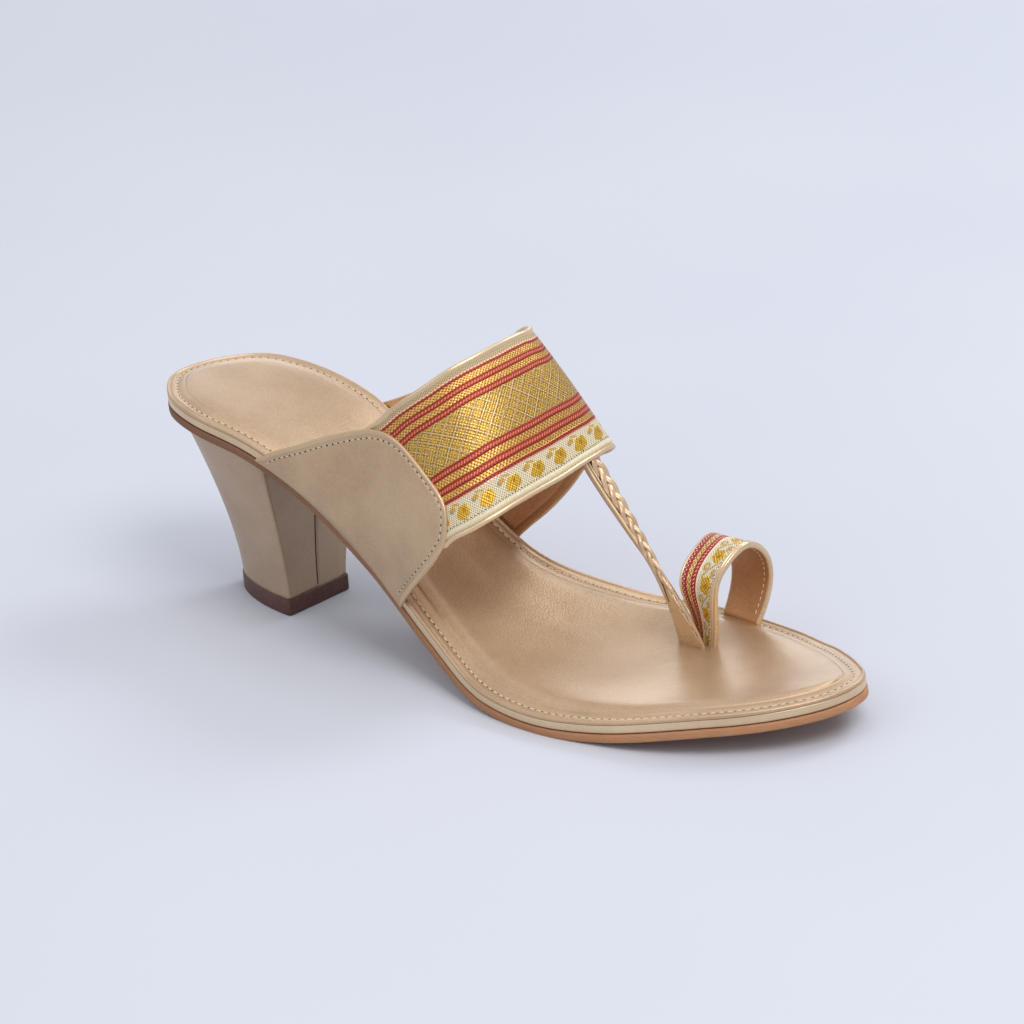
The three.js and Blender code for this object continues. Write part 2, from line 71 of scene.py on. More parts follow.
STRAP = np.array([[0, 50.0, 105.6], [10, 57.2, 114.9], [20, 73.0, 123.3], [30, 92.2, 129.5], [40, 102.3, 135.6], [50, 110.4, 139.6], [60, 115.8, 142.1],
                  [70, 119.7, 143.7], [80, 121.9, 144.6], [90, 122.7, 144.7], [100, 122.4, 144.4], [110, 120.4, 143.6], [120, 116.6, 142.3], [130, 111.4, 140.4],
                  [140, 104.8, 137.4], [150, 94.2, 132.6], [160, 82.0, 127.3], [170, 65.5, 120.7], [180, 53.0, 109.0]], float)
THONG = np.array([[70.0, 137.0, 9.8, 136.4, 16.2], [66.0, 139.1, 9.8, 138.5, 16.2], [62.0, 141.1, 9.8, 140.5, 16.1], [57.8, 143.1, 9.8, 142.8, 15.9],
                  [50.0, 148.9, 9.6, 149.3, 14.8], [42.0, 155.5, 9.6, 156.4, 13.2], [34.5, 161.3, 9.8, 162.9, 11.8], [27.0, 166.1, 10.1, 169.1, 10.6],
                  [20.0, 168.7, 10.6, 174.4, 10.1], [13.0, 170.1, 11.6, 177.9, 11.1], [6.4, 171.1, 12.4, 179.9, 12.5]], float)
LOOP = [dict(nearX=174.75, nearY=15.6, farX=170.2, farY=36.8, height=29.1, lean=-0.7, nearSwell=7.6, farSwell=7.1, power=2.45),
        dict(nearX=181.9, nearY=14.7, farX=183.3, farY=35.8, height=29.7, lean=4.3, nearSwell=3.4, farSwell=6.0, power=2.37)]
LIFT = dict(breast=52.7, depth=31.1, half=12.5, offset=0.6, turn=-6.0, power=1.1)
HEEL = dict(breast=50.6, edge=1.0, back=4.8, swell=1.42)
LIFT_HEIGHT, LIFT_PROUD = 5.13, 0.35


def curve(keys, vals):
    """Smooth curve through a table's rows."""
    X, Y = np.asarray(keys, float), np.asarray(vals, float)
    h = np.diff(X); s = np.diff(Y) / h; m = np.empty(len(X))
    m[0] = s[0] + (s[0] - s[1]) * h[0] / (X[2] - X[0]); m[-1] = s[-1] + (s[-1] - s[-2]) * h[-1] / (X[-1] - X[-3])
    m[1:-1] = (s[:-1] * h[1:] + s[1:] * h[:-1]) / (h[:-1] + h[1:])

    def f(x):
        x = np.clip(np.asarray(x, float), X[0], X[-1]); i = np.clip(np.searchsorted(X, x, side="left") - 1, 0, len(X) - 2)
        H = h[i]; t = (x - X[i]) / H; t2, t3 = t * t, t ** 3
        return (2 * t3 - 3 * t2 + 1) * Y[i] + (t3 - 2 * t2 + t) * H * m[i] + (-2 * t3 + 3 * t2) * Y[i + 1] + (t3 - t2) * H * m[i + 1]
    return f


def turn_of(x):
    return np.arccos(np.clip(1 - 2 * np.asarray(x, float) / LENGTH, -1, 1)) / math.pi


def smooth(t):
    t = np.clip(t, 0, 1); return t * t * (3 - 2 * t)


_lat, _med = curve(turn_of(OUTLINE[:, 0]), OUTLINE[:, 1]), curve(turn_of(OUTLINE[:, 0]), OUTLINE[:, 2])
lateral_at, medial_at = (lambda x: _lat(turn_of(x))), (lambda x: _med(turn_of(x)))
profile_at, crown_at = curve(PROFILE[:, 0], PROFILE[:, 1]), curve(CROWN[:, 0], CROWN[:, 1])
back_at, front_at = curve(STRAP[:, 0], STRAP[:, 1]), curve(STRAP[:, 0], STRAP[:, 2])


def seat(x, y):
    x, y = np.asarray(x, float), np.asarray(y, float)
    g = smooth((x / LENGTH - 0.25) / 0.35); fade = np.clip((LENGTH - x) / (0.12 * LENGTH), 0, 1)
    return profile_at(np.clip(x - SKEW * g * fade * y, 0, LENGTH))


def unit(v):
    return v / np.maximum(np.linalg.norm(v, axis=-1, keepdims=True), 1e-12)


def seat_normal(x, y):
    d = 0.25
    gx, gy = (seat(x + d, y) - seat(x - d, y)) / (2 * d), (seat(x, y + d) - seat(x, y - d)) / (2 * d)
    return unit(np.stack([-gx, -gy, np.ones_like(gx)], -1))


def outline_point(u, side, inset):
    u = np.asarray(u, float); e = 0.004

    def at(w):
        x = LENGTH * (1 - np.cos(math.pi * w)) / 2
        return x, side * (lateral_at(x) if side < 0 else medial_at(x))
    px, py = at(u)
    ax, ay = at(np.maximum(u - e, 0)); bx, by = at(np.minimum(u + e, 1))
    ex, ey = at(np.array(e)); fx, fy = at(np.array(1 - e))
    lo, hi = u - e < 0, u + e > 1
    ax, ay = np.where(lo, ex, ax), np.where(lo, -ey, ay); bx, by = np.where(hi, fx, bx), np.where(hi, -fy, by)
    tx, ty = bx - ax, by - ay; l = np.hypot(tx, ty); tx, ty = tx / l, ty / l
    return px + side * ty * inset, py - side * tx * inset


def on_seat(x, y, h):
    """The footbed's top at a plan point, and h above it along its normal."""
    return np.stack([x, y, seat(x, y)], -1) + seat_normal(x, y) * np.asarray(h, float)[..., None]


def recess(x):
    return 0.6 * smooth((x - 54) / 6) * smooth((103 - x) / 6)


_u = np.linspace(0, 1, 401)
_tread = np.concatenate([on_seat(*outline_point(_u, s, 0.1), np.full(401, -SOLE_BOTTOM)) for s in (-1, 1)] + [on_seat(LENGTH * _u, 0 * _u, np.full(401, -SOLE_BOTTOM))])
GROUND = float(-OFF[2])


def arch(x, a):
    """A point of the arch that the straps lie on; a in radians, 0 at the lateral foot."""
    x, a = np.broadcast_arrays(np.asarray(x, float), np.asarray(a, float)); t = x - 100
    yc, zc = ARCH["crownY"] + ARCH["crownSlope"] * t, crown_at(x)
    yl, ym = lateral_at(x) + BASE_OUT, medial_at(x) + BASE_OUT
    c, s = np.cos(a), np.maximum(np.sin(a), 0); lat = c >= 0
    p = np.where(lat, ARCH["lateralPower"], ARCH["medialPower"])
    h, w = s ** (2 / p), np.abs(c) ** (2 / p); tuck = (1 - h) ** 2
    zb = np.where(lat, seat(x, -yl), seat(x, ym)) - UPPER_DROP
    bulge = np.where(lat, ARCH["lateralBulge"] + ARCH["lateralSlope"] * t, ARCH["medialBulge"] + ARCH["medialSlope"] * t)
    y = np.where(lat, yc - (yc + yl + bulge) * w + bulge * tuck, yc + (ym - yc + bulge) * w - bulge * tuck)
    return np.stack([x, y, zb + (zc - zb) * h], -1)


def arch_normal(x, a):
    x, a = np.broadcast_arrays(np.asarray(x, float), np.asarray(a, float)); e = 0.012
    a0, a1 = np.clip(a - e, 0.004, math.pi - 0.004), np.clip(a + e, 0.004, math.pi - 0.004)
    return unit(np.cross(arch(x + 0.4, a) - arch(x - 0.4, a), arch(x, a1) - arch(x, a0)))


def on_arch(x, deg, out):
    a = np.radians(deg); n = arch_normal(x, a)
    return arch(x, a) + n * np.broadcast_to(np.asarray(out, float), n.shape[:-1])[..., None]


# ------------------------------------------------------------------ mesh helpers
def make(name, verts, faces, mats, face_mats=None, uv=None, uv_name="ribbon", flat=False, merge=2e-6, fix=True, slot=None):
    me = bpy.data.meshes.new(name)
    me.from_pydata(((np.asarray(verts, float).reshape(-1, 3) + OFF) / 1000).tolist(), [], [list(map(int, f)) for f in faces])
    for m in (mats if isinstance(mats, (list, tuple)) else [mats]):
        me.materials.append(m)
    if face_mats is not None:
        me.polygons.foreach_set("material_index", np.asarray(face_mats, np.int32))
    if uv is not None:
        layer = me.uv_layers.new(name=uv_name); idx = np.empty(len(me.loops), np.int32); me.loops.foreach_get("vertex_index", idx)
        layer.data.foreach_set("uv", np.asarray(uv, np.float32).reshape(-1, 2)[idx].ravel())
    bm = bmesh.new(); bm.from_mesh(me)
    if merge:
        bmesh.ops.remove_doubles(bm, verts=bm.verts, dist=merge)
        bmesh.ops.dissolve_degenerate(bm, edges=bm.edges, dist=merge / 2)
    if fix:
        bmesh.ops.recalc_face_normals(bm, faces=bm.faces)
    for f in bm.faces:
        f.smooth = not flat
    bm.to_mesh(me); bm.free()
    ob = bpy.data.objects.new(name, me); bpy.context.scene.collection.objects.link(ob)
    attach(ob, BODY)
    return ob


def loft(name, P, mats, col_mats=None, uv=None, closed_rows=False, cap=True, top=None, **kw):
    """A solid from rows of closed loops of points. With top, the ends are closed across, between the first top columns and the rest."""
    R, C = P.shape[:2]; faces, fm = [], []
    cm = col_mats if col_mats is not None else [0] * C
    at = (lambda i, j: cm[i][j]) if np.ndim(cm) == 2 else (lambda i, j: cm[j])
    for i in range(R if closed_rows else R - 1):
        i2 = (i + 1) % R
        for j in range(C):
            j2 = (j + 1) % C
            faces.append((i * C + j, i * C + j2, i2 * C + j2, i2 * C + j)); fm.append(at(i, j))
    verts = P.reshape(-1, 3)
    if top:
        for i in (0, R - 1):
            a, b = list(range(top)), [0] + list(range(C - 1, top - 1, -1)) + [top - 1]
            la, lb = path_length(P[i][a]), path_length(P[i][b]); la, lb = la / la[-1], lb / lb[-1]; m = n = 0
            while m < len(a) - 1 or n < len(b) - 1:
                if n == len(b) - 1 or (m < len(a) - 1 and la[m + 1] <= lb[n + 1]):
                    tri, m = (a[m], a[m + 1], b[n]), m + 1
                else:
                    tri, n = (a[m], b[n + 1], b[n]), n + 1
                if len(set(tri)) == 3:
                    faces.append(tuple(i * C + t for t in tri)); fm.append(at(i, C - 1))
    elif cap and not closed_rows:
        verts = np.concatenate([verts, P[0].mean(0)[None], P[-1].mean(0)[None]]); a, b = R * C, R * C + 1
        for j in range(C):
            j2 = (j + 1) % C
            faces.append((a, j2, j)); fm.append(at(0, j)); faces.append((b, (R - 1) * C + j, (R - 1) * C + j2)); fm.append(at(R - 1, j))
        if uv is not None:
            uv = np.concatenate([uv.reshape(-1, 2), uv[0].mean(0)[None], uv[-1].mean(0)[None]])
    return make(name, verts, faces, mats, fm, uv, **kw)


def path_length(P):
    return np.concatenate([[0], np.cumsum(np.linalg.norm(np.diff(P, axis=0), axis=-1))])


def resample(P, n, others=()):
    L = path_length(P); t = np.linspace(0, L[-1], n)
    out = [np.stack([np.interp(t, L, Q[:, k]) for k in range(Q.shape[1])], -1) for Q in (P, *others)]
    return out if others else out[0]


def tangents(P):
    return unit(np.gradient(P, axis=0))


def tube(name, P, N, section, mats, uv_scale=None, **kw):
    """A swept strip: section is a list of (across, out) in mm, closed; across is to the left of the path as seen from outside."""
    T = tangents(P); A = unit(np.cross(N, T)); Nn = unit(np.cross(T, A))
    S = np.asarray(section, float)
    if S.ndim == 2:
        S = np.broadcast_to(S, (len(P), *S.shape))
    V = P[:, None] + A[:, None] * S[..., :1] + Nn[:, None] * S[..., 1:]
    uv = None
    if uv_scale:
        L = path_length(P); uv = np.stack(np.broadcast_arrays(L[:, None] * uv_scale, np.arange(S.shape[1])[None] / S.shape[1]), -1)
    return loft(name, V, mats, uv=uv, **kw)


def ellipse(w, h, n, cy=0.0):
    t = np.linspace(0, 2 * math.pi, n, endpoint=False)
    return np.stack([w * np.cos(t), cy + h * np.sin(t)], -1)


def _capsule(rows=5, sides=6):
    """A thread's stitch: along x from -0.5 to 0.5, with radius 1, bowed up in the middle."""
    rings = []
    for k in np.linspace(-1, 1, rows):
        r = math.sqrt(max(0, 1 - abs(k) ** 3)) if abs(k) < 1 else 0.0
        rings.append([(k * 0.5, math.cos(q) * max(r, 0.12), math.sin(q) * max(r, 0.12)) for q in np.linspace(0, 2 * math.pi, sides, endpoint=False)])
    V = np.array(rings).reshape(-1, 3); F = []
    for i in range(rows - 1):
        for j in range(sides):
            F.append((i * sides + j, i * sides + (j + 1) % sides, (i + 1) * sides + (j + 1) % sides, (i + 1) * sides + j))
    F.append(tuple(range(sides))[::-1]); F.append(tuple((rows - 1) * sides + j for j in range(sides)))
    return V, F


def stitches(name, P, N, pitch, mat, length=0.72, radius=0.2, lift=0.0, hole=None, hole_r=0.26, slant=0.0, seed=1, phase=0.0, sink=0.16, slot=None):
    """A row of stitches along a path on a surface, with needle holes between them as small dark pits; their dark colour
    is painted shade for the inside of each hole.
    """
    L = path_length(P); n = max(2, int(L[-1] / pitch)); at = (np.arange(n) + 0.5 + phase) * L[-1] / n
    rng = np.random.RandomState(seed)
    get = lambda Q, t: np.stack([np.interp(t, L, Q[:, k]) for k in range(3)], -1)
    c, nn = get(P, at), unit(get(N, at)); T = unit(get(P, np.minimum(at + 0.3, L[-1])) - get(P, np.maximum(at - 0.3, 0))); A = unit(np.cross(nn, T))
    CV, CF = _capsule(); V, F = [], []
    step = L[-1] / n
    for i in range(n):
        sl = slant + rng.uniform(-0.06, 0.06); t = T[i] * math.cos(sl) + A[i] * math.sin(sl); a = A[i] * math.cos(sl) - T[i] * math.sin(sl)
        ln, rr = step * length * rng.uniform(0.93, 1.05), radius * rng.uniform(0.92, 1.08)
        bow = (1 - (CV[:, 0] * 2) ** 2) * sink
        V.append(c[i] + t * (CV[:, :1] * ln) + a * (CV[:, 1:2] * rr) + nn[i] * (CV[:, 2:3] * rr * 0.85 + bow[:, None] - sink * 0.6 + lift))
        F += [tuple(k + i * len(CV) for k in f) for f in CF]
    ob = make(name, np.concatenate(V), F, mat, merge=0, slot=slot)
    if hole is not None:
        ht = (np.arange(n + 1) + phase) * step; ht = ht[(ht > 0.01) & (ht < L[-1] - 0.01)]
        c, nn = get(P, ht), unit(get(N, ht)); T = unit(get(P, np.minimum(ht + 0.3, L[-1])) - get(P, np.maximum(ht - 0.3, 0))); A = unit(np.cross(nn, T))
        q = np.linspace(0, 2 * math.pi, 8, endpoint=False); V, F = [], []
        for i in range(len(ht)):
            s = hole_r * rng.uniform(0.85, 1.15)
            rim = c[i] + T[i] * (np.cos(q) * s * 1.15)[:, None] + A[i] * (np.sin(q) * s)[:, None]
            top, low = rim + nn[i] * (lift + 0.035), rim - nn[i] * 0.2; k = len(V) * 17 if V else 0
            mid = (c[i] + nn[i] * (lift + 0.05))[None]
            b = i * 17; V.append(np.concatenate([top, low, mid]))
            for j in range(8):
                j2 = (j + 1) % 8
                F.append((b + 16, b + j, b + j2)); F.append((b + j, b + 8 + j, b + 8 + j2, b + j2))
            F.append(tuple(b + 8 + j for j in range(8))[::-1])
        make(name + "_holes", np.concatenate(V), F, hole, merge=0, slot=slot)
    return ob


# ------------------------------------------------------------------ material helpers
def lin(r, g, b):
    return tuple((c / 255 / 12.92 if c / 255 <= 0.04045 else ((c / 255 + 0.055) / 1.055) ** 2.4) for c in (r, g, b)) + (1.0,)


class Val:
    """A number in a node tree, with arithmetic."""
    def __init__(self, tree, sock):
        self.t, self.s = tree, sock

    def op(self, kind, *o, first=None, clamp=False):
        n = self.t.nodes.new("ShaderNodeMath"); n.operation = kind; n.use_clamp = clamp
        args = (first, self, *o) if first is not None else (self, *o)
        for i, v in enumerate(args):
            if isinstance(v, Val):
                self.t.links.new(v.s, n.inputs[i])
            else:
                n.inputs[i].default_value = float(v)
        return Val(self.t, n.outputs[0])

    def __add__(s, o): return s.op("ADD", o)
    __radd__ = __add__
    def __sub__(s, o): return s.op("SUBTRACT", o)
    def __rsub__(s, o): return s.op("SUBTRACT", first=o)
    def __mul__(s, o): return s.op("MULTIPLY", o)
    __rmul__ = __mul__
    def __truediv__(s, o): return s.op("DIVIDE", o)
    def __neg__(s): return s.op("MULTIPLY", -1.0)
    def sin(s): return s.op("SINE")
    def cos(s): return s.op("COSINE")
    def abs(s): return s.op("ABSOLUTE")
    def fract(s): return s.op("FRACT")
    def floor(s): return s.op("FLOOR")
    def sqrt(s): return s.op("SQRT")
    def pow(s, o): return s.op("POWER", o)
    def min(s, o): return s.op("MINIMUM", o)
    def max(s, o): return s.op("MAXIMUM", o)
    def atan2(s, o): return s.op("ARCTAN2", o)
    def clamp(s): return s.op("ADD", 0.0, clamp=True)
    def step(s, lo, hi):
        """0 below lo, 1 above hi, smooth between; falling if hi < lo."""
        n = s.t.nodes.new("ShaderNodeMapRange"); n.interpolation_type = "SMOOTHSTEP"
        s.t.links.new(s.s, n.inputs["Value"])
        a, b, x, y = (lo, hi, 0.0, 1.0) if lo < hi else (hi, lo, 1.0, 0.0)
        for k, v in (("From Min", a), ("From Max", b), ("To Min", x), ("To Max", y)):
            n.inputs[k].default_value = v
        return Val(s.t, n.outputs["Result"])
    def band(s, lo, hi, soft=0.12):
        return s.step(lo - soft, lo + soft) * s.step(hi + soft, hi - soft)


class Mat:
    def __init__(self, name, **sockets):
        self.m = bpy.data.materials.new(name); self.m.use_nodes = True; self.t = self.m.node_tree
        self.b = next(n for n in self.t.nodes if n.type == "BSDF_PRINCIPLED")
        self.set(**sockets)

    def set(self, **sockets):
        for k, v in sockets.items():
            self.b.inputs[k.replace("_", " ")].default_value = v

    def link(self, a, b):
        self.t.links.new(a.s if isinstance(a, Val) else a, b)

    def obj(self):
        n = self.t.nodes.new("ShaderNodeTexCoord"); return n.outputs["Object"]

    def uv(self, name="ribbon"):
        n = self.t.nodes.new("ShaderNodeUVMap"); n.uv_map = name
        s = self.t.nodes.new("ShaderNodeSeparateXYZ"); self.link(n.outputs[0], s.inputs[0])
        return Val(self.t, s.outputs[0]), Val(self.t, s.outputs[1])

    def noise(self, scale, detail=3.0, rough=0.55, vec=None, dims=None):
        n = self.t.nodes.new("ShaderNodeTexNoise"); n.inputs["Scale"].default_value = scale; n.inputs["Detail"].default_value = detail; n.inputs["Roughness"].default_value = rough
        v = vec if vec is not None else self.obj()
        if dims:
            mp = self.t.nodes.new("ShaderNodeMapping"); mp.inputs["Scale"].default_value = dims; self.link(v, mp.inputs[0]); v = mp.outputs[0]
        self.link(v, n.inputs["Vector"])
        return Val(self.t, n.outputs[0])

    def voronoi(self, scale, feature="F1", vec=None, rand=1.0):
        n = self.t.nodes.new("ShaderNodeTexVoronoi"); n.feature = feature; n.inputs["Scale"].default_value = scale; n.inputs["Randomness"].default_value = rand
        self.link(vec if vec is not None else self.obj(), n.inputs["Vector"])
        return Val(self.t, n.outputs["Distance"])

    def mix(self, fac, a, b, blend="MIX"):
        n = self.t.nodes.new("ShaderNodeMix"); n.data_type = "RGBA"; n.blend_type = blend
        for sock, v in ((n.inputs[0], fac), (n.inputs[6], a), (n.inputs[7], b)):
            if isinstance(v, (Val, bpy.types.NodeSocket)):
                self.link(v, sock)
            else:
                sock.default_value = v
        return n.outputs[2]

    def bump(self, height, distance, strength=1.0, normal=None):
        n = self.t.nodes.new("ShaderNodeBump"); n.inputs["Strength"].default_value = strength; n.inputs["Distance"].default_value = distance
        self.link(height, n.inputs["Height"])
        if normal is not None:
            self.link(normal, n.inputs["Normal"])
        return n.outputs[0]

    def done(self, color=None, rough=None, metal=None, normal=None):
        for v, k in ((color, "Base Color"), (rough, "Roughness"), (metal, "Metallic"), (normal, "Normal")):
            if v is not None:
                self.link(v, self.b.inputs[k])
        return self.m


def metallic_leather(name, dark, light, rough=0.36, metal=0.62, grain=0.00005, scale=2600, coat=0.0, wear=None):
    """Champagne foil-coated synthetic leather: fine sparkling grain, soft cloudy colour."""
    m = Mat(name, Metallic=metal, IOR=1.5)
    m.set(**{"Coat_Weight": coat, "Coat_Roughness": 0.32})
    cloud = m.noise(38, 4, 0.6); fine = m.noise(scale, 2, 0.6); cell = m.voronoi(scale * 0.62, "DISTANCE_TO_EDGE")
    mix = (cloud.step(0.3, 0.7) * 0.55 + fine.step(0.3, 0.75) * 0.45).clamp()
    col = m.mix(mix, dark, light)
    if wear is not None:
        col = m.mix(m.noise(9, 5, 0.65).step(0.45, 0.75) * 0.35, col, wear)
    r = (fine * 0.16 + cloud * 0.06 + (rough - 0.11)).clamp()
    h = cell.step(0.0, 0.25) * 0.6 + fine * 0.4
    return m.done(col, r, None, m.bump(h, grain, 0.8))


GOLD_D, GOLD_L = lin(176, 150, 120), lin(205, 181, 148)
leather_foot = metallic_leather("footbed_leather", lin(181, 149, 115), lin(209, 178, 142), rough=0.42, metal=0.6, grain=0.00005, scale=1700, coat=0.5)
leather_wrap = metallic_leather("edge_leather", lin(206, 178, 144), lin(230, 204, 170), rough=0.32, metal=0.6, grain=0.00002)
leather_heel = metallic_leather("heel_leather", lin(168, 142, 118), lin(192, 167, 141), rough=0.42, metal=0.55, grain=0.00005)
leather_panel = metallic_leather("panel_leather", lin(181, 151, 120), lin(211, 182, 146), rough=0.38, metal=0.7, grain=0.00006, scale=2200)
# folded panel edges and the thong's beads: the same leather painted lighter than the panel, a painted highlight on the
# rolled edges
rolled_edge_highlight_leather = Mat("folded_edge_highlight_leather", Metallic=0.6, Roughness=0.3)
rolled_edge_highlight_leather = rolled_edge_highlight_leather.done(rolled_edge_highlight_leather.mix(rolled_edge_highlight_leather.noise(60, 3).step(0.3, 0.7), lin(204, 174, 138), lin(214, 185, 148)))
leather_bind = metallic_leather("binding_leather", lin(204, 174, 138), lin(230, 204, 166), rough=0.30, metal=0.6, grain=0.000008)
leather_lining = metallic_leather("lining_leather", lin(174, 124, 82), lin(204, 152, 104), rough=0.44, metal=0.4, grain=0.00006, scale=1500)
leather_braid = metallic_leather("braid_leather", lin(190, 156, 122), lin(226, 198, 162), rough=0.34, metal=0.5, grain=0.00001)


def thread(name, a, b):
    m = Mat(name, Metallic=0.0, Roughness=0.55)
    m.set(**{"Sheen_Weight": 0.25})
    n = m.noise(4200, 2, 0.5)
    return m.done(m.mix(n.step(0.35, 0.7), a, b), None, None, m.bump(n, 0.00004, 0.6))


thread_pale = thread("pale_thread", lin(214, 196, 166), lin(244, 232, 206))
thread_foot = thread("footbed_thread", lin(206, 182, 148), lin(236, 218, 186))
thread_white = thread("white_thread", lin(190, 178, 160), lin(230, 220, 202))
thread_brown = thread("brown_thread", lin(120, 84, 56), lin(168, 126, 90))
# needle holes: a near-black colour, painted shade for the shadow inside each hole
needle_hole_shade = Mat("needle_hole_painted_shade", Roughness=0.9)
needle_hole_shade = needle_hole_shade.done(needle_hole_shade.mix(needle_hole_shade.noise(3000, 2).step(0.4, 0.6), lin(34, 26, 20), lin(60, 46, 34)))


def outsole_mat():
    m = Mat("outsole_sheet", Roughness=0.72)
    streak = m.noise(420, 5, 0.65, dims=(0.5, 0.5, 6.0)); fine = m.noise(2600, 3, 0.6); cloud = m.noise(30, 3)
    sep = m.t.nodes.new("ShaderNodeSeparateXYZ"); m.link(m.obj(), sep.inputs[0])
    x = Val(m.t, sep.outputs[0])
    # painted shade: the edge is darker towards the heel and the arch, where it lies in the shoe's own shadow, and
    # lighter towards the toe
    lit_toward_toe = x.step(-0.11, 0.1)
    base = m.mix(lit_toward_toe, lin(124, 86, 58), lin(190, 136, 94))
    col = m.mix((streak.step(0.35, 0.7) * 0.5 + cloud.step(0.35, 0.65) * 0.25).clamp(), base, m.mix(0.45, base, lin(112, 72, 46)))
    col = m.mix(fine.step(0.55, 0.8) * 0.35, col, lin(214, 164, 120))
    return m.done(col, None, None, m.bump(streak * 0.6 + fine * 0.4, 0.00012, 0.7))


outsole_m = outsole_mat()
lift_m = Mat("lift_rubber", Roughness=0.48)
_n = lift_m.noise(900, 4, 0.6)
lift_m = lift_m.done(lift_m.mix(_n.step(0.35, 0.7), lin(74, 42, 34), lin(98, 60, 50)), (_n * 0.2 + 0.38), None, lift_m.bump(_n, 0.00005, 0.6))
# dark colour for seams, folds and the braid's edge: painted shadow
seam_shadow_mat = Mat("seam_shadow", Roughness=0.8)
seam_shadow_mat = seam_shadow_mat.done(seam_shadow_mat.mix(seam_shadow_mat.noise(800).step(0.4, 0.6), lin(40, 30, 22), lin(66, 50, 38)))
TAU = 2 * math.pi


def beads(T, s, p):
    """Staggered dots, p apart along each row."""
    return ((T + s) * (TAU / p)).cos() * 0.25 + ((T - s) * (TAU / p)).cos() * 0.25 + 0.5


